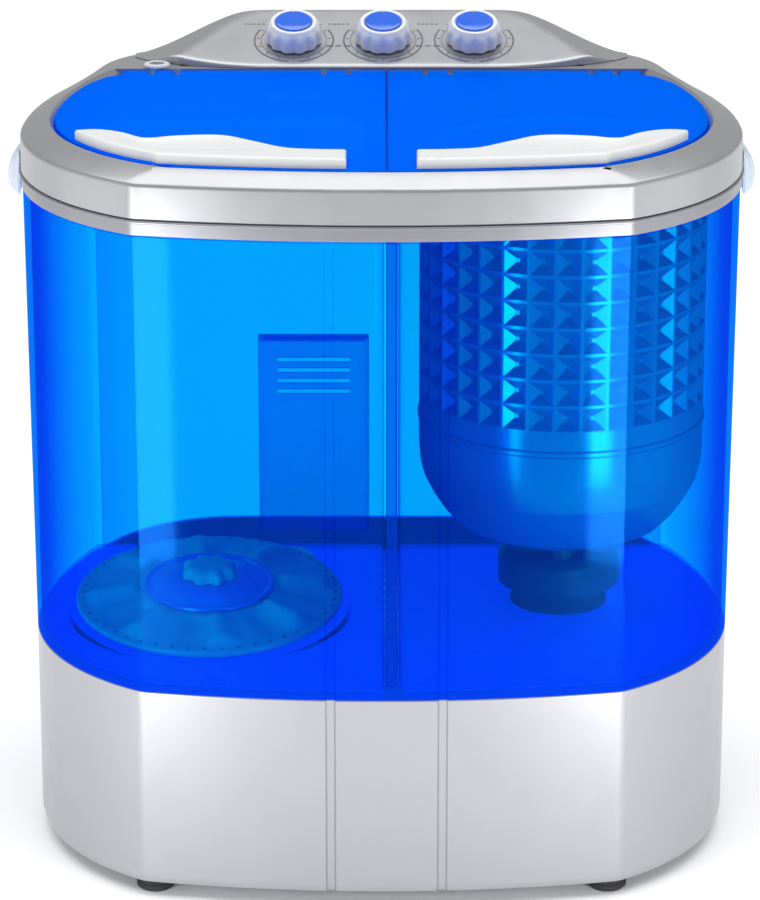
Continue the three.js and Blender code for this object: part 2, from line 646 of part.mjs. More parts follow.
// ---- spin drive ----
const spin = (profile, sides) => turned(profile, sides, SPIN_X, 0);
const SPIN_BORE = SPIN_SHAFT_R + GAP;

function spinBasket() {
  const outer = [
    [SPIN_BORE, 181], [13, 181], [14, 184], [54, 186], [70, 198],
    [79, 210], [86, 224], [BASKET_R, 240], [BASKET_R, BASKET_TOP],
  ];
  const inner = [
    [BASKET_R - 2.4, BASKET_TOP], [BASKET_R - 2.4, 240], [83.6, 225], [76.8, 211.6], [68, 200.6],
    [53, 188.8], [14, 187.4], [13, 194], [SPIN_BORE, 194],
  ];
  return spin([...outer, ...inner], 30);
}

function basketRim() {
  const z = BASKET_TOP + GAP;
  return spin([[80, z], [88, z], [90, z + 2], [90, z + 7], [88, z + 9], [82, z + 9], [80, z + 7]], 30);
}

// The black coupling: a cup with a ring of lobes on top that the basket stands on.
function spinCoupling() {
  const cup = spin([
    [SPIN_BORE, 150], [13, 150], [13, 162], [34, 162], [34, 149],
    [37.7, 149], [37.7, 169], [34.6, 173.4], [SPIN_BORE, 173.4],
  ], 24);
  const lobes = 6;
  const crown = Array.from({ length: lobes }, (_, i) => {
    const angle = (2 * Math.PI * (i + 0.5)) / lobes;
    return cylinder(9.4, 172, 180.4, SPIN_X + 23.5 * Math.cos(angle), 23.5 * Math.sin(angle), 10);
  });
  return join(cup, ...crown);
}

function spinSeal() {
  return spin([
    [6.6, 126], [14, 126], [20, 129], [24, 131], [24, FLOOR_TOP + GAP],
    [30, FLOOR_TOP + GAP], [30, 137.6], [22, 139.4], [15, 146], [6.6, 146],
  ], 18);
}

function spinShaft() {
  return spin([[0, 89], [SPIN_SHAFT_R, 89], [SPIN_SHAFT_R, 196], [4, 199], [0, 199]], 14);
}

function brakeDrum() {
  return spin([
    [SPIN_BORE, 101], [30, 101], [32, 103], [32, 117], [29, 117],
    [29, 105], [12, 105], [12, 122], [SPIN_BORE, 122],
  ], 20);
}

// The lever turns on the bottom plate's post and carries a shoe that faces the drum.
function brakeLever() {
  const [z0, z1] = [106, 114];
  const eye = cylinder(7, z0, z1, BRAKE_X, BRAKE_Y, 20);
  const arm = box(BRAKE_X - 1, BRAKE_X + 5, -14, BRAKE_Y, z0, z1);
  const shoe = box(SPIN_X + 34.6, BRAKE_X, -10, 10, z0, z1);
  return cut(join(eye, arm, shoe), cylinder(3.3, z0 - 1, z1 + 1, BRAKE_X, BRAKE_Y, 20));
}

function spinMotor() {
  return spin([
    [0, 26], [38, 26], [46, 32], [46, 88], [38, 95],
    [12, 95], [12, 99], [SPIN_BORE, 99], [SPIN_BORE, 87], [0, 87],
  ], 20);
}

function spinMotorMount() {
  return spin([[24, PLATE_TOP + GAP], [36, PLATE_TOP + GAP], [36, 25.7], [24, 25.7]], 16);
}

// ---- drain ----
const OVERFLOW = { x0: -78, x1: -8, z0: 152, z1: 279, depth: 13 };

// The overflow cover: a shallow tray against the wash well's rear wall, slotted near its top and open below.
function overflowCover() {
  const { x0, x1, z0, z1, depth } = OVERFLOW;
  const rear = WELL_REAR - GAP;
  const tray = box(x0, x1, rear - depth, rear, z0, z1);
  const inside = box(x0 + 2, x1 - 2, rear - depth + 2, rear + 1, z0 - 1, z1 - 2);
  const slots = Array.from({ length: 4 }, (_, i) =>
    box(x0 + 12, x1 - 12, rear - depth - 1, rear - depth + 3, z1 - 15 - 7 * i, z1 - 12 - 7 * i),
  );
  return cut(tray, inside, ...slots);
}

function drainCover() {
  const z0 = FLOOR_TOP + GAP;
  const disc = turned([[0, z0], [17, z0], [17, z0 + 2], [15, z0 + 3], [0, z0 + 3]], 18, DRAIN_X, DRAIN_Y);
  const slots = [-8, -4, 0, 4, 8].map((dx) => {
    const reach = Math.sqrt(11 ** 2 - dx ** 2);
    return box(DRAIN_X + dx - 1, DRAIN_X + dx + 1, DRAIN_Y - reach, DRAIN_Y + reach, z0 - 1, z0 + 4);
  });
  return cut(disc, ...slots);
}

// The valve chamber: a cup with a seat half way up, a bridge for the stem and a side port for the outlet.
function drainValveBody() {
  const top = SEAM_Z + GAP / 2 - GAP;
  const cup = turned([
    [0, 82], [16, 82], [16, top], [12.5, top], [12.5, 104],
    [8, 104], [8, 102], [12.5, 102], [12.5, 84.5], [0, 84.5],
  ], 18, DRAIN_X, DRAIN_Y);
  const bar = box(DRAIN_X - 13, DRAIN_X + 13, DRAIN_Y - 4, DRAIN_Y + 4, 122, 124);
  const bridge = cut(bar, cylinder(2.9, 120, 126, DRAIN_X, DRAIN_Y, 14));
  const socket = cylinderAlongY(13, DRAIN_Y + 11, DRAIN_Y + 28, DRAIN_X, OUTLET_Z);
  const shoulder = cylinderAlongY(10.4, DRAIN_Y + 17.4, DRAIN_Y + 30, DRAIN_X, OUTLET_Z);
  const port = cylinderAlongY(7.5, DRAIN_Y + 2, DRAIN_Y + 20, DRAIN_X, OUTLET_Z);
  const chamber = cylinder(12.5, 84.5, 102, DRAIN_X, DRAIN_Y, 18);
  return cut(join(cup, bridge, cut(socket, chamber)), shoulder, port);
}

function drainOutlet() {
  const [y0, y1] = [DRAIN_Y + 17.8, HALF_DEPTH - 0.3];
  const tube = cylinderAlongY(10, y0, y1, DRAIN_X, OUTLET_Z);
  return cut(tube, cylinderAlongY(7.5, y0 - 1, y1 + 1, DRAIN_X, OUTLET_Z));
}

function drainValvePlunger() {
  return turned([
    [0, 104.3], [10.5, 104.3], [10.5, 107], [8, 109], [2.5, 109], [2.5, 126], [0, 126],
  ], 14, DRAIN_X, DRAIN_Y);
}

class Helix extends THREE.Curve {
  constructor(radius, turns, z0, z1) {
    super();
    Object.assign(this, { radius, turns, z0, z1 });
  }

  getPoint(t, target = new THREE.Vector3()) {
    const angle = 2 * Math.PI * this.turns * t;
    const z = THREE.MathUtils.lerp(this.z0, this.z1, t);
    return target.set(this.radius * Math.cos(angle), this.radius * Math.sin(angle), z);
  }
}

function drainValveSpring() {
  const wire = new THREE.Shape(arc(0, 0, 0.7, 0, 2 * Math.PI, 5));
  const path = new Helix(5.2, 4, 110.3, 120.8);
  const coil = new THREE.ExtrudeGeometry(wire, { extrudePath: path, steps: 36, bevelEnabled: false });
  return coil.translate(DRAIN_X, DRAIN_Y, 0);
}

// ---- assembly ----
piece('base_housing', baseHousing(), silver);
piece('base_plate', basePlate(), greyPlastic);
const FEET = { front_left: [-1, -131], front_right: [1, -131], rear_left: [-1, 118], rear_right: [1, 118] };
for (const [where, [side, y]] of Object.entries(FEET)) {
  piece(`foot_${where}`, foot().translate(side * FOOT_X, y, 0), rubber);
}
piece('rear_cover', rearCover(), silver);
COVER_SCREW_XS.forEach((x, i) => piece(`rear_cover_screw_${i + 1}`, coverScrew(x), steel));
piece('cable_gland', cableGland(), rubber);
piece('tub_shell', tubShell(), blueGlass);
piece('trim_band', trimBand(), silver);
piece('top_frame', topFrame(), silver);
piece('water_inlet', waterInlet(), greyPlastic);
piece('side_grip_left', sideGrip(-1), iceBlue);
piece('side_grip_right', sideGrip(1), iceBlue);

for (const side of ['wash', 'spin']) {
  piece(`${side}_lid`, lid(side), blueGlass);
  piece(`${side}_lid_handle`, lidHandle(side), white);
  piece(`${side}_lid_hinge_rod`, hingeRod(side), steel);
}
piece('lid_switch', box(50, 82, 83, RECESS_REAR - GAP, DECK_TOP + GAP, DECK_TOP + 11), blackPlastic);

piece('control_panel', controlPanel(), silver);
const CONTROLS = [['wash_timer', timerBody], ['drain_selector', selectorBody], ['spin_timer', timerBody]];
CONTROLS.forEach(([name, body], i) => {
  const place = new THREE.Group();
  place.applyMatrix4(fasciaMatrix(KNOB_XS[i], KNOB_Y));
  washer.add(place);
  piece(name, body(), greyPlastic, place);
  piece(`${name}_knob`, knob(), white, place);
  piece(`${name}_knob_cap`, knobCap(), knobBlue, place);
});

piece('pulsator', pulsator(), pulsatorGrey, washDrive);
piece('pulsator_cap', pulsatorCap(), knobBlue, washDrive);
piece('pulsator_knob', pulsatorKnob(), pulsatorGrey, washDrive);
piece('pulsator_screw', pulsatorScrew(), steel, washDrive);
piece('wash_shaft', washShaft(), steel, washDrive);
piece('wash_bearing', washBearing(), blackPlastic, washDrive);
piece('wash_pulley', pulley(PULLEY_R, SHAFT_R + GAP, 10, 24), blackPlastic, washDrive);
piece('drive_belt', driveBelt(), rubber, washDrive);
piece('wash_motor', washMotor(), castAlloy, washDrive);
piece('wash_motor_pulley', washMotorPulley(), castAlloy, washDrive);
piece('wash_motor_mount', washMotorMount(), rubber, washDrive);
piece('capacitor', capacitor(), greyPlastic);

piece('spin_basket', spinBasket(), clearPlastic);
piece('basket_rim', basketRim(), white);
piece('spin_coupling', spinCoupling(), blackPlastic);
piece('spin_seal', spinSeal(), rubber);
piece('spin_shaft', spinShaft(), steel);
piece('brake_drum', brakeDrum(), castAlloy);
piece('brake_lever', brakeLever(), steel);
piece('spin_motor', spinMotor(), castAlloy);
piece('spin_motor_mount', spinMotorMount(), rubber);

piece('overflow_cover', overflowCover(), blueGlass);
piece('drain_cover', drainCover(), greyPlastic);
piece('drain_valve_body', drainValveBody(), greyPlastic);
piece('drain_valve_plunger', drainValvePlunger(), rubber);
piece('drain_valve_spring', drainValveSpring(), steel);
piece('drain_outlet', drainOutlet(), greyPlastic);

export default washer;
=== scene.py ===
"""The looks of a portable twin tub washer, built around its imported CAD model. Shapes are in millimetres."""

import math

import bmesh
import bpy
from mathutils import Matrix, Vector


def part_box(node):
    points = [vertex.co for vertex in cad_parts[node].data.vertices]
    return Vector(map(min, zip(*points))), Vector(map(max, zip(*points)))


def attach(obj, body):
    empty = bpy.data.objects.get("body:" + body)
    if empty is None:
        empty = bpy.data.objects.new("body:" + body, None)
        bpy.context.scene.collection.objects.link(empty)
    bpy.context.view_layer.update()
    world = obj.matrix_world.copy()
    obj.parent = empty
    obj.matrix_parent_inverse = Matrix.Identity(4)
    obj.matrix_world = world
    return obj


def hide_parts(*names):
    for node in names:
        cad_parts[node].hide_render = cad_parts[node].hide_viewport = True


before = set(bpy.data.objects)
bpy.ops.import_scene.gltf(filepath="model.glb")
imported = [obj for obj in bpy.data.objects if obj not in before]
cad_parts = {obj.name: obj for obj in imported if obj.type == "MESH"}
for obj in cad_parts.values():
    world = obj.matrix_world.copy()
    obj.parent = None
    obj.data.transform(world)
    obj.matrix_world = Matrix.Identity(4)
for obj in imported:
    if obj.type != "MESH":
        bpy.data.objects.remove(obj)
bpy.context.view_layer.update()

MM = 0.001
FRONT = -math.pi / 2


def extent(node):
    """A CAD node's lowest and highest corners in millimetres."""
    low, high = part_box(node)
    return low / MM, high / MM


# ---- driving dimensions, taken from the frame where it states them ----
RING_LOW, RING_HIGH = extent("top_frame")
SHELL_LOW, SHELL_HIGH = extent("tub_shell")
BASE_LOW, BASE_HIGH = extent("base_housing")
BAND_LOW, BAND_HIGH = extent("trim_band")
HALF_WIDTH = RING_HIGH.x + 0.2
HALF_DEPTH = RING_HIGH.y + 0.2
WIDEST_Y = -20
CREASE_X = 143
BOW_DEPTH = 15
FLANK_RADIUS = 260
FLANK_SWEEP = math.radians(33)
BOW_RADIUS = (CREASE_X**2 + BOW_DEPTH**2) / (2 * BOW_DEPTH)
SIDE = HALF_WIDTH - CREASE_X
RISE = WIDEST_Y + HALF_DEPTH - BOW_DEPTH
SHOULDER_RADIUS = (SIDE**2 + RISE**2) / (2 * SIDE)

SKIRT_INSET = 2.8
SHELL_TOP_INSET = 1.2
WALL = 2.6
FLOOR_TOP = SHELL_LOW.z + 2.85
SPLIT_X = 3
PARTITION = 9
PARTITION_X = 6
WELL_REAR = 94
GROOVE_XS = (SPLIT_X - 33, SPLIT_X + 33)
GROOVE_HALF = 2.6
GROOVE_DEPTH = 1.1

DECK_TOP = 427
FACE_TOP = 442
RIM_TOP = 449.4
RECESS_REAR = 99.4

WASH_AT = Vector((-106, -24, 145))
WASH_TILT = math.radians(5.5)
PULSATOR_R = 82
SPIN_X = 110
DRAIN_AT = (-60, 72)


# ---- outlines ----
def arc(centre, radius, start, end, steps):
    """Points along an arc, both ends included."""
    return [
        (
            centre[0] + radius * math.cos(start + (end - start) * i / steps),
            centre[1] + radius * math.sin(start + (end - start) * i / steps),
        )
        for i in range(steps + 1)
    ]


def bend(a, b, c, steps):
    """Points along a quadratic curve from a to c, drawn towards b, with both ends."""
    curve = []
    for i in range(steps + 1):
        t = i / steps
        weights = ((1 - t) ** 2, 2 * t * (1 - t), t**2)
        curve.append(tuple(sum(w * p[k] for w, p in zip(weights, (a, b, c))) for k in range(2)))
    return curve


def rounded(points, radius, steps=3, closed=True, least_turn=0.3):
    """An outline with its sharp corners turned into curves; a point may carry its own radius as a third value."""
    result = []
    count = len(points)
    for i, point in enumerate(points):
        here = Vector(point[:2])
        if not closed and i in (0, count - 1):
            result.append(tuple(here))
            continue
        before = Vector(points[i - 1][:2]) - here
        after = Vector(points[(i + 1) % count][:2]) - here
        turn = math.pi - before.angle(after)
        wanted = point[2] if len(point) > 2 else radius
        if turn < least_turn or wanted == 0:
            result.append(tuple(here))
            continue
        reach = min(wanted * math.tan(turn / 2), 0.45 * before.length, 0.45 * after.length)
        start = here + before.normalized() * reach
        end = here + after.normalized() * reach
        result.extend(bend(start, here, end, steps))
    return result


def inward(outline, distance):
    """An anticlockwise outline drawn in by a distance."""
    result = []
    count = len(outline)
    for i, point in enumerate(outline):
        here = Vector(point)
        before = (here - Vector(outline[i - 1])).normalized()
        after = (Vector(outline[(i + 1) % count]) - here).normalized()
        normal = Vector((-before.y - after.y, before.x + after.x)).normalized()
        reach = distance / max(0.3, normal.dot(Vector((-before.y, before.x))))
        result.append(tuple(here + normal * reach))
    return result


def clipped(outline, axis, limit, side):
    """The part of an outline below (side -1) or above (side 1) a limit on an axis."""
    result = []
    for i, point in enumerate(outline):
        last = outline[i - 1]
        ins = (point[axis] - limit) * side >= 0
        last_in = (last[axis] - limit) * side >= 0
        if ins != last_in:
            t = (limit - last[axis]) / (point[axis] - last[axis])
            result.append(tuple(last[k] + t * (point[k] - last[k]) for k in range(2)))
        if ins:
            result.append(tuple(point))
    return result


def groove_depth(x):
    """How deep the front's two upright grooves are at x."""
    away = min(abs(x - centre) for centre in GROOVE_XS)
    return GROOVE_DEPTH * max(0.0, min(1.0, (GROOVE_HALF + 0.5 - away) / 1.0))


GROOVE_EDGES = [x + s * (GROOVE_HALF + d) for x in GROOVE_XS for s in (-1, 1) for d in (-0.5, 0.5)]
BOW_XS = sorted([x for x in range(-130, 131, 10) if all(abs(x - e) > 3 for e in GROOVE_EDGES)] + GROOVE_EDGES)
FILLET = 3.2


def plan(side, front=None):
    """The machine's outline drawn in by side, and by front along the bow: anticlockwise from the left crease."""
    front = side if front is None else front
    bow = BOW_RADIUS - front
    shoulder = SHOULDER_RADIUS - side
    bow_centre = Vector((0, BOW_RADIUS - HALF_DEPTH))
    shoulder_centre = Vector((HALF_WIDTH - SHOULDER_RADIUS, WIDEST_Y))
    across = shoulder_centre - bow_centre
    along = (bow**2 - shoulder**2 + across.length_squared) / (2 * across.length)
    off = math.sqrt(bow**2 - along**2)
    unit = across.normalized()
    crease = bow_centre + unit * along + Vector((-unit.y, unit.x)) * off
    bow_end = math.asin(crease.x / bow) - FILLET / bow
    start = math.atan2(crease.y - WIDEST_Y, crease.x - shoulder_centre.x) + FILLET / shoulder
    flank_centre = (HALF_WIDTH - FLANK_RADIUS, WIDEST_Y)
    flank = FLANK_RADIUS - side
    flank_end_x = flank_centre[0] + FLANK_RADIUS * math.cos(FLANK_SWEEP)
    flank_end_y = WIDEST_Y + FLANK_RADIUS * math.sin(FLANK_SWEEP)
    corner_radius = (HALF_DEPTH - flank_end_y) / (1 - math.sin(FLANK_SWEEP))
    corner_centre = (flank_end_x - corner_radius * math.cos(FLANK_SWEEP), HALF_DEPTH - corner_radius)

    end_x = bow * math.sin(bow_end)
    front_bow = [(x, bow_centre.y - math.sqrt(bow**2 - x**2)) for x in (-end_x, *BOW_XS, end_x)]
    right = [
        *bend(front_bow[-1], crease, arc(shoulder_centre, shoulder, start, 0, 28)[0], 4)[1:-1],
        *arc(shoulder_centre, shoulder, start, 0, 28),
        *arc(flank_centre, flank, 0, FLANK_SWEEP, 16)[1:],
        *arc(corner_centre, corner_radius - side, FLANK_SWEEP, math.pi / 2, 12)[1:],
    ]
    rear = [(corner_centre[0] * (1 - i / 6), HALF_DEPTH - side) for i in range(1, 12)]
    left = [(-x, y) for x, y in reversed(right)]
    return [*front_bow, *right, *rear, *left]


# ---- bodies ----
def mesh_piece(name, points, faces):
    mesh = bpy.data.meshes.new(name)
    mesh.from_pydata([Vector(p) * MM for p in points], [], faces)
    body = bmesh.new()
    body.from_mesh(mesh)
    bmesh.ops.remove_doubles(body, verts=body.verts, dist=1e-6)
    bmesh.ops.dissolve_degenerate(body, edges=body.edges, dist=1e-7)
    bmesh.ops.recalc_face_normals(body, faces=body.faces)
    body.to_mesh(mesh)
    body.free()
    piece = bpy.data.objects.new(name, mesh)
    bpy.context.scene.collection.objects.link(piece)
    return piece


def through(name, rings, ends="cap"):
    """A body through rings of equal point counts: capped, joined end to end as a loop, or left open at points."""
    count = len(rings[0])
    points = [p for ring in rings for p in ring]
    faces = []
    for r in range(len(rings) if ends == "loop" else len(rings) - 1):
        low = r * count
        high = ((r + 1) % len(rings)) * count
        for i in range(count):
            j = (i + 1) % count
            faces.append((low + i, low + j, high + j, high + i))
    if ends == "cap":
        last = len(points) - count
        faces.append(tuple(reversed(range(count))))
        faces.append(tuple(range(last, last + count)))
    return mesh_piece(name, points, faces)


def stack(name, sections):
    """A body through level outlines, each given as (height, outline)."""
    return through(name, [[(x, y, z) for x, y in outline] for z, outline in sections])


def prism(name, outline, z0, z1, edge=0.0):
    """An upright body over an outline, with its upper and lower edges rounded off."""
    if edge == 0:
        return stack(name, [(z0, outline), (z1, outline)])
    turn = [(edge * (1 - math.cos(a)), edge * (1 - math.sin(a))) for a in (0, 0.5, 1.05, math.pi / 2)]
    low = [(z0 + rise, inward(outline, pull)) for rise, pull in turn]
    high = [(z1 - rise, inward(outline, pull)) for rise, pull in reversed(turn)]
    return stack(name, [*low, *high])


def turned(name, profile, steps=64, at=(0, 0), shape=None):
    """A turned body from (radius, height) points; shape may move each point by its angle."""
    rings = []
    for radius, z in profile:
        ring = []
        for i in range(steps):
            angle = 2 * math.pi * i / steps
            r, h = shape(radius, z, angle) if shape else (radius, z)
            ring.append((at[0] + r * math.cos(angle), at[1] + r * math.sin(angle), h))
        rings.append(ring)
    on_axis = profile[0][0] == 0 and profile[-1][0] == 0
    return through(name, rings, "open" if on_axis else "loop")


def swept(name, profile, grooved_below=None):
    """A ring that follows the plan, from a loop of (inset, height) points, with grooves in its outer face."""
    rings = []
    for inset, z in profile:
        ring = []
        for x, y in plan(inset):
            deep = groove_depth(x) if grooved_below and inset < grooved_below and y < -100 else 0
            ring.append((x, y + deep, z))
        rings.append(ring)
    return through(name, rings, "loop")


def cleaned(piece):
    """A carved body with its near-double points merged and its faces as triangles."""
    body = bmesh.new()
    body.from_mesh(piece.data)
    bmesh.ops.remove_doubles(body, verts=body.verts, dist=1e-5)
    bmesh.ops.dissolve_degenerate(body, edges=body.edges, dist=2e-6)
    bmesh.ops.triangulate(body, faces=body.faces, quad_method="BEAUTY", ngon_method="BEAUTY")
    body.to_mesh(piece.data)
    body.free()
    return piece


def carved(piece, tools, operation="DIFFERENCE"):
    """A body cut, joined or overlapped with others, which are used up."""
    for tool in tools:
        step = piece.modifiers.new("carve", "BOOLEAN")
        step.operation = operation
        step.solver = "MANIFOLD"
        step.object = tool
    shape = bpy.data.meshes.new_from_object(piece.evaluated_get(bpy.context.evaluated_depsgraph_get()))
    piece.modifiers.clear()
    piece.data = shape
    for tool in tools:
        bpy.data.objects.remove(tool)
    return cleaned(piece)


def moved(piece, matrix):
    """A body carried by a matrix in millimetres."""
    place = matrix.copy()
    place.translation = place.translation * MM
    piece.data.transform(place)
    return piece


def level_faces_kept(mesh):
    """Keeps level faces flat where they meet a rounded edge."""
    body = bmesh.new()
    body.from_mesh(mesh)
    for edge in body.edges:
        level = {abs(face.normal.z) > 0.9999 for face in edge.link_faces}
        if len(level) == 2:
            edge.smooth = False
    body.to_mesh(mesh)
    body.free()


def finished(piece, material, body, nodes=(), angle=35):
    """Shades a piece, gives it its material, and ties it to the frame."""
    piece.data.shade_smooth()
    piece.data.set_sharp_from_angle(angle=math.radians(angle))
    level_faces_kept(piece.data)
    piece.data.materials.clear()
    piece.data.materials.append(material)
    steady = piece.modifiers.new("normals", "WEIGHTED_NORMAL")
    steady.keep_sharp = True
    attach(piece, body)
    if nodes:
        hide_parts(*nodes)
    return piece


def box(name, x0, x1, y0, y1, z0, z1, edge=0.0):
    outline = [(x0, y0), (x1, y0), (x1, y1), (x0, y1)]
    return prism(name, rounded(outline, edge * 1.5) if edge else outline, z0, z1, edge)


def along_x(piece, x, y, z):
    """Lays a body that was turned about Z along X."""
    return moved(piece, Matrix.Translation((x, y, z)) @ Matrix.Rotation(math.pi / 2, 4, "Y"))


def along_y(piece, x, y, z):
    """Lays a body that was turned about Z along Y."""
    return moved(piece, Matrix.Translation((x, y, z)) @ Matrix.Rotation(-math.pi / 2, 4, "X"))


# ---- materials ----
def add(tree, kind, inputs=None, **settings):
    """A shader node; each input is a plain value or another node's output."""
    made = tree.nodes.new(kind)
    for key, value in settings.items():
        setattr(made, key, value)
    for key, value in (inputs or {}).items():
        if isinstance(value, bpy.types.NodeSocket):
            tree.links.new(value, made.inputs[key])
        else:
            made.inputs[key].default_value = value
    return made


def fresh(name):
    made = bpy.data.materials.new(name)
    made.use_nodes = True
    made.node_tree.nodes.clear()
    return made, made.node_tree


def output(tree, shader):
    add(tree, "ShaderNodeOutputMaterial", {"Surface": shader})


def cloud(tree, scale, detail=2.0):
    """A smooth random field fixed to the piece."""
    place = add(tree, "ShaderNodeTexCoord").outputs["Object"]
    return add(tree, "ShaderNodeTexNoise", {"Vector": place, "Scale": scale, "Detail": detail}).outputs["Fac"]


def between(tree, field, low, high):
    """A field spread over a range of values."""
    made = add(tree, "ShaderNodeMapRange", {"Value": field, "From Min": 0.3, "From Max": 0.7})
    made.inputs["To Min"].default_value = low
    made.inputs["To Max"].default_value = high
    return made.outputs["Result"]


def math_node(tree, operation, a, b=0.0):
    made = add(tree, "ShaderNodeMath", operation=operation)
    for i, value in enumerate((a, b)):
        if isinstance(value, bpy.types.NodeSocket):
            tree.links.new(value, made.inputs[i])
        else:
            made.inputs[i].default_value = value
    return made.outputs[0]


def shaded(colour, factor):
    return (*(min(1.0, c * factor) for c in colour), 1.0)


def grained(tree, scale, strength):
    """A fine moulded grain as a bump."""
    field = cloud(tree, scale, 3.0)
    made = add(tree, "ShaderNodeBump", {"Height": field, "Strength": strength, "Distance": 0.0002})
    return made.outputs["Normal"]


def plastic(name, colour, roughness=0.35, metallic=0.0, variation=0.03, grain=0.2, scale=900.0, coat=0.0, tint=None):
    """A moulded plastic, rubber or metal with a fine grain and slightly uneven colour and gloss."""
    made, tree = fresh(name)
    field = between(tree, cloud(tree, 14.0, 4.0), 0.0, 1.0)
    other = tint or colour
    mix = add(tree, "ShaderNodeMix", {0: field}, data_type="RGBA")
    mix.inputs[6].default_value = shaded(colour, 1 - variation)
    mix.inputs[7].default_value = shaded(other, 1 + variation)
    gloss = between(tree, cloud(tree, 60.0, 3.0), roughness - 0.03, roughness + 0.04)
    surface = add(
        tree,
        "ShaderNodeBsdfPrincipled",
        {
            "Base Color": mix.outputs[2],
            "Roughness": gloss,
            "Metallic": metallic,
            "Normal": grained(tree, scale, grain),
            "Coat Weight": coat,
            "Coat Roughness": 0.08,
        },
    )
    output(tree, surface.outputs["BSDF"])
    return made


def clear(name, passed, body, weight, gloss, roughness=0.08, level_weight=None, backlight=0.5, mirror=0.04, painted_glow=None):
    """A clear coloured plastic: light passes straight through and is coloured more on a slant,
    the plastic's own colour shows weakly, more so on level faces,
    which may also carry a painted glow, an emission that stands in for light inside the plastic, and the surface
    mirrors softly."""
    made, tree = fresh(name)
    facing = add(tree, "ShaderNodeLayerWeight", {"Blend": 0.5}).outputs["Facing"]
    slant = math_node(tree, "MAXIMUM", math_node(tree, "SUBTRACT", 1.0, facing), 0.22)
    path = math_node(tree, "DIVIDE", 1.0, slant)
    uneven = between(tree, cloud(tree, 7.0, 2.0), 0.94, 1.06)
    length = math_node(tree, "MULTIPLY", math_node(tree, "POWER", path, 1.5), uneven)
    colour = add(tree, "ShaderNodeCombineColor")
    for i, share in enumerate(passed):
        tree.links.new(math_node(tree, "POWER", share, length), colour.inputs[i])
    through_it = add(tree, "ShaderNodeBsdfTransparent", {"Color": colour.outputs["Color"]})
    normal = grained(tree, 260.0, 0.04)
    lit = add(tree, "ShaderNodeBsdfDiffuse", {"Color": (*body, 1.0), "Normal": normal})
    backlit = add(tree, "ShaderNodeBsdfTranslucent", {"Color": (*body, 1.0), "Normal": normal})
    own = add(tree, "ShaderNodeMixShader", {0: backlight, 1: lit.outputs[0], 2: backlit.outputs[0]})
    upright = add(tree, "ShaderNodeSeparateXYZ", {0: add(tree, "ShaderNodeNewGeometry").outputs["Normal"]})
    level = add(tree, "ShaderNodeMapRange", {"Value": math_node(tree, "ABSOLUTE", upright.outputs["Z"])})
    level.inputs["From Min"].default_value = 0.5
    level.inputs["From Max"].default_value = 0.95
    level.inputs["To Min"].default_value = weight
    level.inputs["To Max"].default_value = weight if level_weight is None else level_weight
    bulk = add(tree, "ShaderNodeMixShader", {0: level.outputs[0], 1: through_it.outputs[0], 2: own.outputs[0]})
    shine = add(tree, "ShaderNodeBsdfGlossy", {"Color": (*gloss, 1.0), "Roughness": roughness, "Normal": normal})
    outside = math_node(tree, "SUBTRACT", 1.0, add(tree, "ShaderNodeNewGeometry").outputs["Backfacing"])
    rising = math_node(tree, "MULTIPLY", math_node(tree, "POWER", facing, 5.0), 0.25)
    share = math_node(tree, "MULTIPLY", math_node(tree, "ADD", rising, mirror), outside)
    # Painted glow: an emission on level faces, strongest where they lie flat, standing in for light inside the plastic;
    # no lamp is there.
    if painted_glow:
        dense = add(tree, "ShaderNodeMapRange", {"Value": math_node(tree, "ABSOLUTE", upright.outputs["Z"])})
        dense.inputs["From Min"].default_value = 0.5
        dense.inputs["From Max"].default_value = 0.95
        painted_glow_light = add(tree, "ShaderNodeEmission", {"Color": (*painted_glow, 1.0), "Strength": dense.outputs[0]})
        bulk = add(tree, "ShaderNodeAddShader", {0: bulk.outputs[0], 1: painted_glow_light.outputs[0]})
    surface = add(tree, "ShaderNodeMixShader", {0: share, 1: bulk.outputs[0], 2: shine.outputs[0]})
    output(tree, surface.outputs[0])
    return made


BLUE_HAZE = (0.0, 0.07, 1.0)
SILVER = plastic("silver pearl plastic", (0.38, 0.385, 0.40), 0.32, 0.65, 0.02, 0.12, 1400.0)
SILVER_BAND = plastic("silver band plastic", (0.27, 0.275, 0.295), 0.33, 0.6, 0.02, 0.12, 1400.0)
WHITE = plastic("white plastic", (0.74, 0.76, 0.76), 0.3, 0.0, 0.01, 0.08, 1100.0, 0.2)
ICE = plastic("ice blue plastic", (0.48, 0.58, 0.70), 0.28, 0.0, 0.02, 0.08, 1100.0, 0.3)
# The shell and the lid carry a painted glow on their level faces.
SHELL_BLUE = clear("clear blue shell", (0.22, 0.91, 0.99), BLUE_HAZE, 0.075, (0.02, 0.28, 1.0), 0.08, 0.85, painted_glow=(0.0, 0.03, 0.26))
LID_BLUE = clear("clear blue lid", (0.10, 0.86, 0.98), (0.0, 0.22, 1.0), 0.6, (0.02, 0.4, 1.0), 0.06, painted_glow=(0.0, 0.03, 0.16))
COVER_BLUE = clear("clear blue cover", (0.30, 0.80, 0.97), (0.0, 0.06, 0.85), 0.2, (0.01, 0.5, 1.0), 0.2)
WEB_BLUE = clear("dense blue web", (0.3, 0.7, 0.95), (0.0, 0.05, 0.8), 0.25, (0.02, 0.3, 1.0), 0.2)
CAP_BLUE = plastic("blue cap plastic", (0.0, 0.11, 0.72), 0.12, 0.0, 0.02, 0.05, 900.0, 0.6)
PULSATOR = plastic("pulsator plastic", (0.24, 0.34, 0.46), 0.34, 0.0, 0.02, 0.15, 900.0)
BASKET = clear("clear basket", (0.5, 0.6, 0.86), (0.2, 0.28, 0.58), 0.45, (0.7, 0.8, 1.0), 0.2, None, 0.15, 0.14)
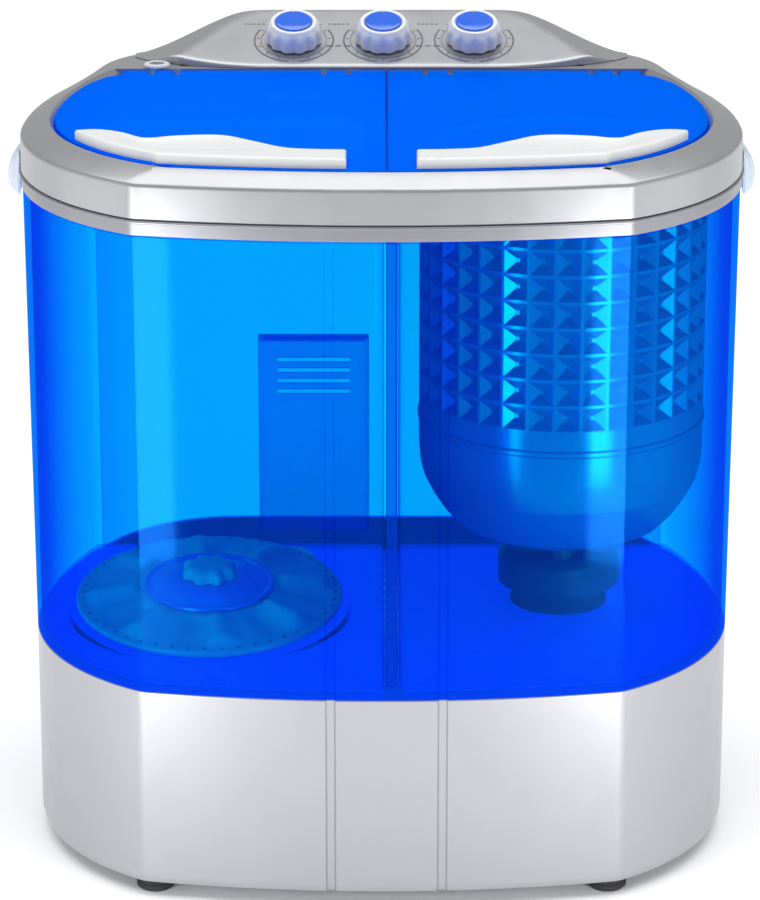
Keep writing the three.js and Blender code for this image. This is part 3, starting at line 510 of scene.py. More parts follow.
BLACK = plastic("black plastic", (0.010, 0.012, 0.018), 0.4, 0.0, 0.1, 0.3, 700.0)
# Used for the panel's print and as painted shade in the pulsator's drain holes.
INK_AND_HOLE_SHADE = plastic("dark print and painted hole shade", (0.09, 0.10, 0.12), 0.5, 0.0, 0.05, 0.05, 900.0)
RUBBER = plastic("black rubber", (0.018, 0.018, 0.02), 0.75, 0.0, 0.15, 0.5, 500.0)
STEEL = plastic("brushed steel", (0.56, 0.57, 0.60), 0.28, 1.0, 0.04, 0.25, 1200.0)
ALLOY = plastic("cast alloy", (0.36, 0.37, 0.39), 0.48, 0.8, 0.08, 0.6, 420.0)
GREY = plastic("grey plastic", (0.30, 0.32, 0.35), 0.5, 0.0, 0.04, 0.4, 700.0)
PALE_GREY = plastic("pale grey plastic", (0.55, 0.57, 0.60), 0.4, 0.0, 0.03, 0.2, 900.0)

BY_SLOT = {
    "silver_plastic": SILVER,
    "blue_clear": SHELL_BLUE,
    "white_plastic": WHITE,
    "ice_plastic": ICE,
    "knob_blue": CAP_BLUE,
    "pulsator_plastic": PULSATOR,
    "clear_plastic": BASKET,
    "black_plastic": BLACK,
    "rubber": RUBBER,
    "steel": STEEL,
    "motor_alloy": ALLOY,
    "grey_plastic": GREY,
}


# ---- base ----
def mixed(first, second, share):
    """An outline between two that line up point by point; share is a number or depends on y."""
    result = []
    for a, b in zip(first, second):
        t = share(a[1]) if callable(share) else share
        result.append((a[0] + t * (b[0] - a[0]), a[1] + t * (b[1] - a[1])))
    return result


def smooth(value, low, high):
    t = max(0.0, min(1.0, (value - low) / (high - low)))
    return t * t * (3 - 2 * t)


BASE_WALL = SKIRT_INSET + WALL
REAR_FACE = HALF_DEPTH - SKIRT_INSET
COVER = extent("rear_cover")
GLAND_X = -60
GLAND_Z = 48
OUTLET_Z = 93


def rear_hole(radius, x, z, depth=12):
    return along_y(turned("hole", [(0, 0), (radius, 0), (radius, 2 * depth), (0, 2 * depth)], 32), x, REAR_FACE - depth, z)


def base_housing():
    top = BASE_HIGH.z
    low = BASE_LOW.z
    profile = rounded(
        [
            (BASE_WALL, low, 0.6), (SKIRT_INSET + 1.4, low, 1.4), (SKIRT_INSET, low + 5, 4),
            (SKIRT_INSET, top, 0.9), (BASE_WALL, top, 0.4),
        ],
        1,
    )
    ring = swept("base_housing_look", profile, SKIRT_INSET + 2)
    low_cover, high_cover = COVER
    window = box("window", low_cover.x + 12, high_cover.x - 12, REAR_FACE - 12, REAR_FACE + 8, low_cover.z + 8, high_cover.z - 8)
    screws = [rear_hole(1.8, x, (low_cover.z + high_cover.z) / 2) for x in (low_cover.x + 6, high_cover.x - 6)]
    carved(ring, [window, rear_hole(10.5, -60, OUTLET_Z), rear_hole(6.3, GLAND_X, GLAND_Z), *screws])
    return finished(ring, SILVER, "casing", ["base_housing"])


def base_plate():
    low, high = extent("base_plate")
    plate = prism("base_plate_look", plan(BASE_WALL + 0.4), low.z, low.z + 3, 0.6)
    post = turned("post", rounded([(0, low.z + 2), (3, low.z + 2), (3, high.z, 0.8), (0, high.z)], 1, closed=False), 32, (146.5, 45))
    ribs = [box("rib", -150, 150, y - 1, y + 1, low.z - 1.6, low.z + 0.4) for y in (-60, 60)]
    carved(plate, [post, *ribs], "UNION")
    return finished(plate, GREY, "casing", ["base_plate"])


def foot(node):
    low, high = extent(node)
    radius = (high.x - low.x) / 2
    middle = (low + high) / 2
    profile = [(0, 0.5), (radius - 3, 0.5), (radius - 3, 0), (radius - 1.4, 0), (radius, 1.4), (radius, 4)]
    profile += [(radius - 0.7, 4.6), (radius - 0.7, 5.8), (radius, 6.4), (radius - 0.5, high.z), (0, high.z)]
    piece = turned(f"{node}_look", profile, 48, (middle.x, middle.y))
    return finished(piece, RUBBER, "casing", [node], 25)


def rear_cover():
    low, high = COVER
    outline = rounded([(low.x, low.z), (high.x, low.z), (high.x, high.z), (low.x, high.z)], 7, 5)
    thickness = high.y - low.y
    plate = prism("rear_cover_look", outline, 0, thickness, 0.5)
    moved(plate, Matrix.Translation((0, high.y, 0)) @ Matrix.Rotation(math.pi / 2, 4, "X"))
    middle = (low.z + high.z) / 2
    tools = []
    for i in range(9):
        z = low.z + 14 + 6.2 * i
        slot = box("slot", low.x + 24, high.x - 24, low.y - 2, high.y + 2, z, z + 2.6, 0.8)
        tools.append(slot)
    for x in (low.x + 6, high.x - 6):
        tools.append(rear_hole(1.8, x, middle))
        head = turned("seat", [(0, 0), (3.6, 0), (3.6, 9), (0, 9)], 32)
        tools.append(along_y(head, x, low.y + 1.1, middle))
    carved(plate, tools)
    return finished(plate, SILVER, "casing", ["rear_cover"])


def cover_screw(node):
    low, high = extent(node)
    x = (low.x + high.x) / 2
    z = (low.z + high.z) / 2
    length = high.y - low.y
    profile = [(0, 0), (1.4, 0.6), (1.4, length - 1.6), (3.1, length - 1.5), (3.1, length - 0.7), (2.6, length - 0.2)]
    profile += [(1.2, length), (0, length)]
    piece = along_y(turned(f"{node}_look", profile, 32), x, low.y, z)
    slots = [
        box("slot", x - 2, x + 2, high.y - 0.7, high.y + 1, z - 0.35, z + 0.35),
        box("slot", x - 0.35, x + 0.35, high.y - 0.7, high.y + 1, z - 2, z + 2),
    ]
    carved(piece, slots)
    return finished(piece, STEEL, "casing", [node])


def cable_gland():
    low, high = extent("cable_gland")
    length = high.y - low.y
    profile = [(3.4, 0), (6, 0), (6, length - 2.4), (10, length - 2.3), (10, length - 0.8), (9.4, length - 0.2)]
    profile += [(7.5, length - 0.2), (7, length), (4.4, length), (3.4, length - 0.8)]
    piece = along_y(turned("cable_gland_look", profile, 48), GLAND_X, low.y, GLAND_Z)
    return finished(piece, RUBBER, "casing", ["cable_gland"])


# ---- tub shell ----
OPEN_WASH = [(-176, -122), (-10, -122), (-10, 76), (-176, 76)]
DRIVE = Matrix.Translation(WASH_AT) @ Matrix.Rotation(WASH_TILT, 4, "X")


def drum(radius, z0, z1, at=(0, 0), steps=64):
    return turned("drum", [(0, z0), (radius, z0), (radius, z1), (0, z1)], steps, at)


def well(side):
    """The space of one well: the plan inside the walls, cut off at the partition and at the rear wall."""
    split = PARTITION_X + side * PARTITION / 2
    outline = clipped(clipped(plan(BASE_WALL), 0, split, side), 1, WELL_REAR, -1)
    outline = rounded(outline, 8, 5, least_turn=0.6)
    bottom = [(FLOOR_TOP + 6 * (1 - math.cos(a)), inward(outline, 6 * (1 - math.sin(a)))) for a in (0, 0.5, 1, math.pi / 2)]
    return stack("well", [*bottom, (SHELL_HIGH.z + 5, outline)])


def tub_shell():
    low, high = SHELL_LOW.z, SHELL_HIGH.z
    turn = 1.0
    levels = [
        (low, SKIRT_INSET + 0.6), (low + 0.6, SKIRT_INSET), (high - turn, SHELL_TOP_INSET + 0.01), (high, SHELL_TOP_INSET + turn)
    ]
    sections = []
    for z, inset in levels:
        outline = [(x, y + (groove_depth(x) if y < -100 else 0)) for x, y in plan(inset)]
        sections.append((z, outline))
    shell = stack("tub_shell_look", sections)
    duct_outline = rounded(clipped(plan(BASE_WALL), 1, WELL_REAR + WALL, 1), 6, 4, least_turn=0.6)
    duct = stack("duct", [(low - 5, duct_outline), (high + 5, duct_outline)])
    carved(shell, [well(-1), well(1), duct])
    seat = moved(drum(PULSATOR_R + 5, -13, -2, steps=96), DRIVE)
    carved(shell, [seat], "UNION")
    below = moved(turned("below", [(0, -60), (84.4, -60), (84.4, -4.6), (0, -4.6)], 96), DRIVE)
    bearing = moved(drum(14.4, -40, 10), DRIVE)
    carved(shell, [below, bearing, drum(24.4, low - 5, FLOOR_TOP + 5, (SPIN_X, 0)), drum(11, low - 5, FLOOR_TOP + 5, DRAIN_AT)])
    return finished(shell, SHELL_BLUE, "casing", ["tub_shell"], 30)


def partition_web():
    """The dense web that ties the partition's two faces together."""
    low, high = SHELL_LOW.z, SHELL_HIGH.z
    front = -HALF_DEPTH + BASE_WALL + 4
    web = box("partition_web", PARTITION_X - PARTITION / 2 + 1.4, PARTITION_X + PARTITION / 2 - 1.4, front, WELL_REAR - 4, low + 6, high - 3, 0.8)
    return finished(web, WEB_BLUE, "casing")


def trim_band():
    low, high = BAND_LOW.z, BAND_HIGH.z
    bead = rounded([(0.4, high - 2.2, 0.4), (-0.9, high - 1.9), (-0.9, high - 0.2), (0.6, high, 0.4)], 0.8, closed=False)
    profile = [(8, low), *rounded([(1.2, low), (0.4, low), (0.4, low + 2)], 0.8, closed=False), *bead, (8, high)]
    return finished(swept("trim_band_look", profile), SILVER_BAND, "casing", ["trim_band"])


# ---- top ring ----
RIM_SIDE = 20
RIM_FRONT = 15.5
HINGE_Y = 92
HINGE_Z = 443.5
HINGE_XS = {"wash": (-135, -28), "spin": (35, 138)}
INLET_AT = (-140, 106)


def rim_outline():
    """The upper edge of the ring's sloping top, which fades towards the outer edge at the rear corners."""
    return mixed(plan(RIM_SIDE, RIM_FRONT), plan(3), lambda y: smooth(y, 50, 125))


def pin_hole(x0, x1):
    return along_x(turned("pin", [(0, x0), (2.3, x0), (2.3, x1), (0, x1)], 24), 0, HINGE_Y, HINGE_Z)


def top_frame():
    low = RING_LOW.z
    rim = rim_outline()
    shoulder = plan(2.2)
    sections = [
        (low, plan(0.9)), (low + 0.7, plan(0.2)), (FACE_TOP - 2.4, plan(0.4)), (FACE_TOP - 1.0, plan(0.7)),
        (FACE_TOP - 0.1, plan(1.3)), (FACE_TOP + 0.6, shoulder),
    ]
    for t in (0.25, 0.5, 0.75, 0.94):
        sections.append((FACE_TOP + 0.6 + (RIM_TOP - FACE_TOP - 0.6) * (t + 0.10 * math.sin(math.pi * t)), mixed(shoulder, rim, t)))
    sections.append((RIM_TOP, rim))
    ring = stack("top_frame_look", sections)
    recess_low = clipped(plan(20.4, 15.9), 1, RECESS_REAR, -1)
    levels = [(DECK_TOP, 20.4), (RIM_TOP - 3.2, 20.4), (RIM_TOP - 0.8, 18.2), (RIM_TOP + 4, 16.0)]
    recess = stack("recess", [(z, plan(inset, inset - 4.5)) for z, inset in levels])
    front_part = box("front", -300, 300, -300, RECESS_REAR, DECK_TOP - 10, RIM_TOP + 20)
    carved(recess, [front_part], "INTERSECT")
    wash_outline = rounded(OPEN_WASH, 34, 10)
    wash_hole = stack("hole", [(low - 3, wash_outline), (DECK_TOP + 2, wash_outline)])
    spin_hole = drum(82, low - 3, DECK_TOP + 2, (SPIN_X, 0), 96)
    under = stack("under", [(low - 3, plan(3.4)), (DECK_TOP - 3, plan(3.4))])
    timers = box("timers", -126, 126, 107, 151, DECK_TOP, RIM_TOP + 9)
    inlet = drum(6, DECK_TOP, RIM_TOP + 9, INLET_AT, 32)
    carved(ring, [recess, wash_hole, spin_hole, under, timers, inlet])
    bosses = []
    for x in (*HINGE_XS["wash"], *HINGE_XS["spin"]):
        for s in (-1, 1):
            x0, x1 = sorted((x + s * 6.3, x + s * 9.5))
            boss = [(HINGE_Y - 3.5, HINGE_Z - 4), (RECESS_REAR + 1, HINGE_Z - 4), (RECESS_REAR + 1, HINGE_Z + 3), (HINGE_Y - 3.5, HINGE_Z + 3)]
            outline = rounded(boss, 2.4, 4)
            part = prism("boss", outline, x0, x1)
            turn = Matrix(((0, 0, 1, 0), (1, 0, 0, 0), (0, 1, 0, 0), (0, 0, 0, 1)))
            bosses.append(moved(part, turn))
    carved(ring, bosses, "UNION")
    carved(ring, [pin_hole(-150, 150)])
    return finished(ring, SILVER, "casing", ["top_frame"], 32)


def water_inlet():
    top = extent("water_inlet")[1].z
    z = RIM_TOP + 0.3
    profile = [(4.6, top - 16), (5.7, top - 16), (5.7, z), (8.3, z), (8.3, z + 0.9), (7.9, z + 1.5), (7.2, z + 1.9)]
    profile += [(6.2, top), (5.4, top), (4.8, top - 0.4), (4.6, top - 1.2)]
    piece = turned("water_inlet_look", profile, 64, INLET_AT)
    return finished(piece, PALE_GREY, "casing", ["water_inlet"])


def side_grip(side):
    """A lifting ledge that swells out of the flank and fades away at both ends."""
    name = "side_grip_right" if side > 0 else "side_grip_left"
    low, high = extent(name)
    middle = (low.y + high.y) / 2
    reach = (high.y - low.y) / 2
    section = rounded(
        [(0, low.z), (0.93, low.z, 1.5), (1, low.z + 5), (0.97, low.z + 11), (0.74, low.z + 18), (0.36, low.z + 23), (0, high.z)],
        2,
        4,
    )
    rings = []
    for (x0, y0), (x1, y1) in zip(plan(-0.3), plan(-9)):
        if x0 < 150 or abs(y0 - middle) > reach:
            continue
        fade = 0.06 + 0.94 * smooth(reach + 4 - abs(y0 - middle), 0, 26)
        rings.append([(side * (x0 + d * fade * (x1 - x0)), y0 + d * fade * (y1 - y0), z) for d, z in section])
    return finished(through(f"{name}_look", rings), ICE, "casing", [name])


# ---- lids and their handles ----
LID_TOP = RIM_TOP - 0.2
LID_REAR = 96
LID_CORNER_X = 160.8


def lid_limit(side, drawn_in, edge):
    """A lid's limits in plan: the split, the rear edge and a rear corner trimmed to swing clear of the ring."""
    split = SPLIT_X + side * (0.4 + drawn_in)
    rear = LID_REAR - drawn_in
    x = LID_CORNER_X - drawn_in
    outer = [(x, rear), (x, 86), (x + 9.4, 79), (x + 16.6, 66), (300, 60), (300, -300)]
    outline = [(split, -300), (split, rear), *((side * a, b) for a, b in outer)]
    if side > 0:
        outline.reverse()
    return prism("limit", rounded(outline, 1.6, 3), 300, LID_TOP + 0.02, edge)


def lid(name, side):
    tray = prism(f"{name}_lid_look", plan(20.9, 16.4), DECK_TOP + 13, LID_TOP, 0.9)
    carved(tray, [lid_limit(side, 0, 0.9)], "INTERSECT")
    hollow = prism("hollow", plan(23.3, 18.8), DECK_TOP, LID_TOP - 2.8, 1.0)
    inner = lid_limit(side, 2.4, 0)
    carved(hollow, [inner], "INTERSECT")
    notches = []
    for x in HINGE_XS[name]:
        for s in (-1, 1):
            x0, x1 = sorted((x + s * 6, x + s * 9.8))
            notches.append(box("notch", x0, x1, HINGE_Y - 7.5, LID_REAR + 2, DECK_TOP, RIM_TOP + 2))
    carved(tray, [hollow, *notches])
    knuckles = []
    for x in HINGE_XS[name]:
        shape = turned("knuckle", rounded([(0, -5.9), (3.9, -5.9), (3.9, 5.9), (0, 5.9)], 0.6, closed=False), 40)
        knuckles.append(along_x(shape, x, HINGE_Y, HINGE_Z))
    carved(tray, knuckles, "UNION")
    bore = pin_hole(HINGE_XS[name][0] - 20, HINGE_XS[name][1] + 20)
    carved(tray, [bore])
    return finished(tray, LID_BLUE, f"{name}_lid", [f"{name}_lid"], 25)


def hinge_rod(name):
    low, high = extent(f"{name}_lid_hinge_rod")
    length = high.x - low.x
    profile = [(0, 0), (1.5, 0), (2, 0.6), (2, length - 0.6), (1.5, length), (0, length)]
    piece = along_x(turned(f"{name}_lid_hinge_rod_look", profile, 32), low.x, HINGE_Y, HINGE_Z)
    return finished(piece, STEEL, "casing", [f"{name}_lid_hinge_rod"])


WAVE = [
    (-178, -79), (-165, -77), (-150, -84), (-137, -96), (-118, -91),
    (-92, -90), (-76, -102), (-56, -119), (-38, -123), (-20, -124),
]


def wave_y(x):
    """The rear edge of the left handle: a smooth curve through its stations."""
    for i in range(len(WAVE) - 1):
        (x0, y0), (x1, y1) = WAVE[i], WAVE[i + 1]
        if x0 <= x <= x1:
            before = WAVE[max(0, i - 1)]
            after = WAVE[min(len(WAVE) - 1, i + 2)]
            m0 = (y1 - before[1]) / (x1 - before[0]) * (x1 - x0)
            m1 = (after[1] - y0) / (after[0] - x0) * (x1 - x0)
            t = (x - x0) / (x1 - x0)
            h = (2 * t**3 - 3 * t**2 + 1, t**3 - 2 * t**2 + t, 3 * t**2 - 2 * t**3, t**3 - t**2)
            return h[0] * y0 + h[1] * m0 + h[2] * y1 + h[3] * m1
    return WAVE[0][1]


def front_at(outline, x):
    """Where an outline's front runs at x."""
    found = 0.0
    for i, (x1, y1) in enumerate(outline):
        x0, y0 = outline[i - 1]
        if min(x0, x1) <= x <= max(x0, x1) and x0 != x1:
            found = min(found, y0 + (x - x0) / (x1 - x0) * (y1 - y0))
    return found


def eased(depth, radius):
    """How far a rounded edge lies below the top at a distance in from the edge."""
    inside = min(radius, max(0.0, radius - depth))
    return radius - math.sqrt(radius**2 - inside**2)


def lid_handle(name, side):
    """A handle with a rounded top, a straight front wall, a wavy rear edge and a soft scoop for the fingers."""
    low, high = extent(f"{name}_lid_handle")
    outline = plan(23, 18)
    inner, outer = -20, -178
    shares = [0.5 - 0.5 * math.cos(math.pi * i / 60) for i in range(61)]
    across = [0.5 - 0.5 * math.cos(math.pi * i / 22) for i in range(23)]
    rings = []
    for share in shares:
        x = inner + (outer - inner) * share
        y0, y1 = front_at(outline, x), wave_y(x)
        ring = [(side * -x, y0, low.z)]
        for t in across:
            y = y0 + (y1 - y0) * t
            edge = min(y - y0, y1 - y, inner - x, x - outer)
            dip = 2.6 * smooth(1 - abs(x + 112) / 52, 0, 0.8) * smooth(t, 0.25, 0.6) * (1 - 0.5 * smooth(t, 0.8, 1))
            ring.append((side * -x, y, high.z - eased(edge, 1.8) - dip * smooth(edge, 0, 4)))
        ring.append((side * -x, y1, low.z))
        rings.append(ring)
    handle = through(f"{name}_lid_handle_look", rings)
    return finished(handle, WHITE, f"{name}_lid", [f"{name}_lid_handle"], 50)


def lid_switch():
    low, high = extent("lid_switch")
    body = box("lid_switch_look", low.x, high.x, low.y, high.y, low.z, high.z, 0.8)
    seams = [box("seam", x - 0.4, x + 0.4, low.y - 1, high.y + 1, high.z - 0.7, high.z + 2) for x in (low.x + 9, high.x - 9)]
    carved(body, seams)
    return finished(body, BLACK, "casing", ["lid_switch"])


# ---- control panel ----
TILT = math.radians(19.5)
FASCIA_FRONT_Y = 99.8
FASCIA_FRONT_Z = 451.2
KNOB_Y = 127.5
KNOBS = {"wash_timer": -55, "drain_selector": 1, "spin_timer": 58}
CROWN_TOP = 474.6
CROWN_FLAT = 70
CROWN_END = 158
PANEL_BASE = RIM_TOP + 0.3


def fascia_z(y):
    return FASCIA_FRONT_Z + (y - FASCIA_FRONT_Y) * math.tan(TILT)


def fascia_frame(x, y):
    return Matrix.Translation((x, y, fascia_z(y))) @ Matrix.Rotation(TILT, 4, "X")


def crown_z(x):
    t = max(0.0, min(1.0, (abs(x) - CROWN_FLAT) / (CROWN_END - CROWN_FLAT)))
    return PANEL_BASE + (CROWN_TOP - PANEL_BASE) * (1 + math.cos(math.pi * t)) / 2


def lower_of(a, b, softness):
    """The lower of two heights, with a small fillet where they cross."""
    share = max(0.0, softness - abs(a - b)) / softness
    return min(a, b) - softness * share * share / 4


def panel_mound(name, wall, bottom):
    """The panel's mound: a leaning fascia cut off by a crown that falls towards both sides."""
    span = 90 - wall
    reach = 46 - wall / 2
    rear_outline = plan(2 + wall)

    def front_y(x):
        over = max(0.0, min(1.0, (abs(x) - CROWN_FLAT) / span))
        return FASCIA_FRONT_Y + wall + reach * (1 - math.sqrt(max(0.0, 1 - over * over)))

    def rear_y(x):
        best = HALF_DEPTH - 2 - wall
        for i, (x1, y1) in enumerate(rear_outline):
            x0, y0 = rear_outline[i - 1]
            if y1 > 60 and min(x0, x1) <= x <= max(x0, x1) and abs(x1 - x0) > 1e-6:
                best = min(best, y0 + (x - x0) / (x1 - x0) * (y1 - y0))
        return best

    end = CROWN_END - wall - 3
    count = 96
    xs = [end * math.sin(math.pi / 2 * (2 * i / count - 1)) for i in range(count + 1)]
    shares = [0, 0.004, 0.012, 0.024, *[0.05 + 0.9 * j / 26 for j in range(27)], 0.972, 0.988, 0.996, 1]
    edge = 2.0
    rows = []
    for x in xs:
        y0, y1 = front_y(x), rear_y(x)
        row = [(x, y0, bottom)]
        for share in shares:
            y = y0 + (y1 - y0) * share
            z = lower_of(crown_z(x) - wall, fascia_z(y) - wall / math.cos(TILT), 2.4)
            near = min(edge, y - y0, y1 - y)
            z -= 0.8 * (edge - math.sqrt(max(0.0, edge**2 - (edge - near) ** 2)))
            row.append((x, y, max(z, bottom + 0.25)))
        row.append((x, y1, bottom))
        rows.append(row)
    return through(name, rows)


def control_panel():
    panel = panel_mound("control_panel_look", 0.0, PANEL_BASE)
    inside = panel_mound("inside", WALL, PANEL_BASE - 5)
    holes = [moved(drum(3.7, -12, 12, steps=32), fascia_frame(x, KNOB_Y)) for x in KNOBS.values()]
    carved(panel, [inside, *holes])
    return finished(panel, SILVER, "casing", ["control_panel"], 50)


def joined(name, parts):
    """Several separate bodies as one object."""
    body = bmesh.new()
    for part in parts:
        body.from_mesh(part.data)
        bpy.data.objects.remove(part)
    mesh = bpy.data.meshes.new(name)
    body.to_mesh(mesh)
    body.free()
    piece = bpy.data.objects.new(name, mesh)
    bpy.context.scene.collection.objects.link(piece)
    return piece


def sector(r0, r1, a0, a1, z0, z1, at=(0, 0)):
    """A piece of a flat ring between two angles."""
    steps = max(2, int((a1 - a0) / 0.06))
    outline = [*arc(at, r1, a0, a1, steps), *reversed(arc(at, r0, a0, a1, steps))]
    return prism("sector", outline, z0, z1)


def panel_prints():
    """The dial rings, their marks and the dashes between the dials, printed a little proud of the fascia."""
    z0, z1 = 0.05, 0.16
    parts = []
    for name, x in KNOBS.items():
        place = fascia_frame(x, KNOB_Y)
        marks = []
        gaps = [FRONT, math.pi / 2 + 0.9, math.pi / 2 - 0.9, math.pi / 2]
        stops = sorted((g + 0.14 * s) % (2 * math.pi) for g in gaps for s in (-1, 1))
        for a0, a1 in zip(stops[1::2], [*stops[2::2], stops[0] + 2 * math.pi]):
            marks.append(sector(24.2, 25.2, a0, a1, z0, z1))
        marks.append(sector(20.4, 20.8, math.radians(140), math.radians(400), z0, z1))
        for i in range(11):
            a = math.radians(150 + 24 * i)
            marks.append(sector(21.6, 23.2, a - 0.015, a + 0.015, z0, z1))
        for mark in marks:
            moved(mark, place)
        parts.extend(marks)
    for x in (-27, 29):
        place = fascia_frame(x, KNOB_Y - 6)
        for k in (-1, 0, 1):
            dash = box("dash", k * 5.4 - 1.9, k * 5.4 + 1.9, -0.5, 0.5, z0, z1)
            parts.append(moved(dash, place))
    for x in (-80, -27, 29):
        place = fascia_frame(x, KNOB_Y + 18)
        for k in (-2, -1, 0, 1, 2):
            dash = box("dash", k * 2.8 - 0.9, k * 2.8 + 0.9, -0.4, 0.4, z0, z1)
            parts.append(moved(dash, place))
    return finished(joined("panel_prints", parts), INK_AND_HOLE_SHADE, "casing")


def knob(name, x):
    """A knob with a scalloped skirt, a plain collar and a cup for its cap."""
    profile = [
        (0, -3.2), (2.8, -3.2), (3.2, -2.8), (3.2, 0.8), (16.9, 0.8), (17.5, 1.1), (17.7, 1.8), (17.7, 6.5), (17.4, 8.6),
        (16.7, 10.4), (15.7, 11.8), (14.95, 12.8), (14.6, 13.6), (14.1, 14.1), (13.3, 14.3), (12.5, 14.2), (12.0, 13.8),
        (12.0, 12.8), (0, 12.8),
    ]

    def scallop(radius, z, angle):
        depth = 1.25 * (1 - smooth(z, 7.5, 13)) if radius > 14 and z > 0 else 0.0
        return radius - depth * (0.5 + 0.5 * math.cos(12 * angle)) ** 1.5, z

    grip = moved(turned(f"{name}_knob_look", profile, 144, shape=scallop), fascia_frame(x, KNOB_Y))
    return finished(grip, WHITE, f"{name}_knob", [f"{name}_knob"], 40)


def knob_cap(name, x):
    profile = [(0, 13.1), (11.3, 13.1), (11.6, 13.4), (11.6, 14.0), (11.3, 14.5), (10.7, 14.85), (9.6, 14.9), (7, 15.15), (0, 15.3)]
    cap = turned(f"{name}_knob_cap_look", profile, 72)
    notch = box("notch", -0.9, 0.9, 8.4, 13, 12, 17)
    carved(cap, [notch])
    moved(cap, fascia_frame(x, KNOB_Y))
    return finished(cap, CAP_BLUE, f"{name}_knob", [f"{name}_knob_cap"], 40)


# ---- wash drive ----
def in_drive(piece, material, nodes=()):
    return finished(moved(piece, DRIVE), material, "agitator", nodes, 40)


def lobes_at(radius):
    """How strongly the pulsator's radial waves show at a radius."""
    return smooth(radius, 40, 48) * (1 - smooth(radius, 70, 77))


def pulsator():
    profile = [(5.3, -1), (13, -1), (14, 4.0), (42, 4.6), (77, 0.4), (77, -0.8), (80.6, -0.8), (81.6, -0.3)]
    profile += [(82, 0.6), (82, 2.0), (81.4, 2.9), (80, 3.3)]
    profile += [(80 - 2 * i, 3.3 + 5.3 * (2 * i / 38)) for i in range(1, 19)]
    profile += [(42, 8.6), (2.5, 8.6), (2.5, 6), (5.3, 6)]

    def waves(radius, z, angle):
        top = 3.2 < z < 8.5 and 42 < radius < 80
        swell = math.sin(8 * angle) + 0.45 * math.sin(16 * angle)
        lift = 4.0 * lobes_at(radius) * (swell if swell > 0 else 0.5 * swell) if top else 0.0
        return radius, z + lift

    disc = turned("pulsator_look", profile, 192, shape=waves)
    return in_drive(disc, PULSATOR, ["pulsator"])


def pulsator_dots():
    """A ring of small drain holes near the pulsator's rim, drawn as shallow cups whose dark colour is painted shade for
    the holes' depth.
    """
    dots = []
    for i in range(48):
        a = 2 * math.pi * i / 48
        radius = 77.6
        z = 3.3 + 5.3 * (80 - radius) / 38
        dot = turned("dot", [(0, z - 0.4), (1.25, z - 0.4), (1.3, z + 0.12), (1.0, z + 0.16), (0, z + 0.02)], 16)
        dots.append(moved(dot, Matrix.Translation((radius * math.cos(a), radius * math.sin(a), 0))))
    # The dark colour here is painted shade standing in for the holes.
    return in_drive(joined("pulsator_dots", dots), INK_AND_HOLE_SHADE)


def pulsator_cap():
    profile = [(2.8, 8.9), (39.6, 8.9), (40, 9.3), (40, 10.6), (39.4, 11.4), (38.2, 11.6), (37.0, 11.2), (36.2, 10.7)]
    profile += [(34, 11.2), (30, 12.6), (26, 13.8), (22, 14.6), (18, 15), (2.8, 15)]
    return in_drive(turned("pulsator_cap_look", profile, 96), CAP_BLUE, ["pulsator_cap"])


def pulsator_knob():
    profile = [(0, 19.4), (5.6, 19.4), (5.6, 15.3), (16.6, 15.3), (17, 15.7), (17, 18.8), (16.6, 20.2), (15.6, 21.6), (14, 22.6), (12, 23), (0, 23)]

    def lobed(radius, z, angle):
        depth = 3.2 * smooth(radius, 8, 13) if radius > 8 else 0.0
        return radius - depth * (0.5 + 0.5 * math.cos(8 * angle)), z

    return in_drive(turned("pulsator_knob_look", profile, 128, shape=lobed), PULSATOR, ["pulsator_knob"])


def pulsator_screw():
    profile = [(0, -6), (2.2, -5.4), (2.2, 15.3), (5.2, 15.3), (5.2, 17.8), (4.6, 18.5), (0, 18.8)]
    screw = turned("pulsator_screw_look", profile, 32)
    return in_drive(screw, STEEL, ["pulsator_screw"])


# ---- spin drive ----
def at_spin(name, profile, steps=96, shape=None):
    return turned(name, rounded(profile, 0.8), steps, (SPIN_X, 0), shape)


ROWS = 8
COLUMNS = 34
DIMPLES_LOW = 272
DIMPLES_PITCH = 16


def basket_profile(offset):
    """One face of the basket's wall below the dimples, from its foot upwards, drawn in by an offset."""
    outer = [(54, 186), (64, 191), (72, 199.5), (79, 210), (84, 220), (86.2, 229), (87, 240)]
    return [(r - offset, z + offset * 0.7 * (1 - smooth(z, 200, 240))) for r, z in outer]


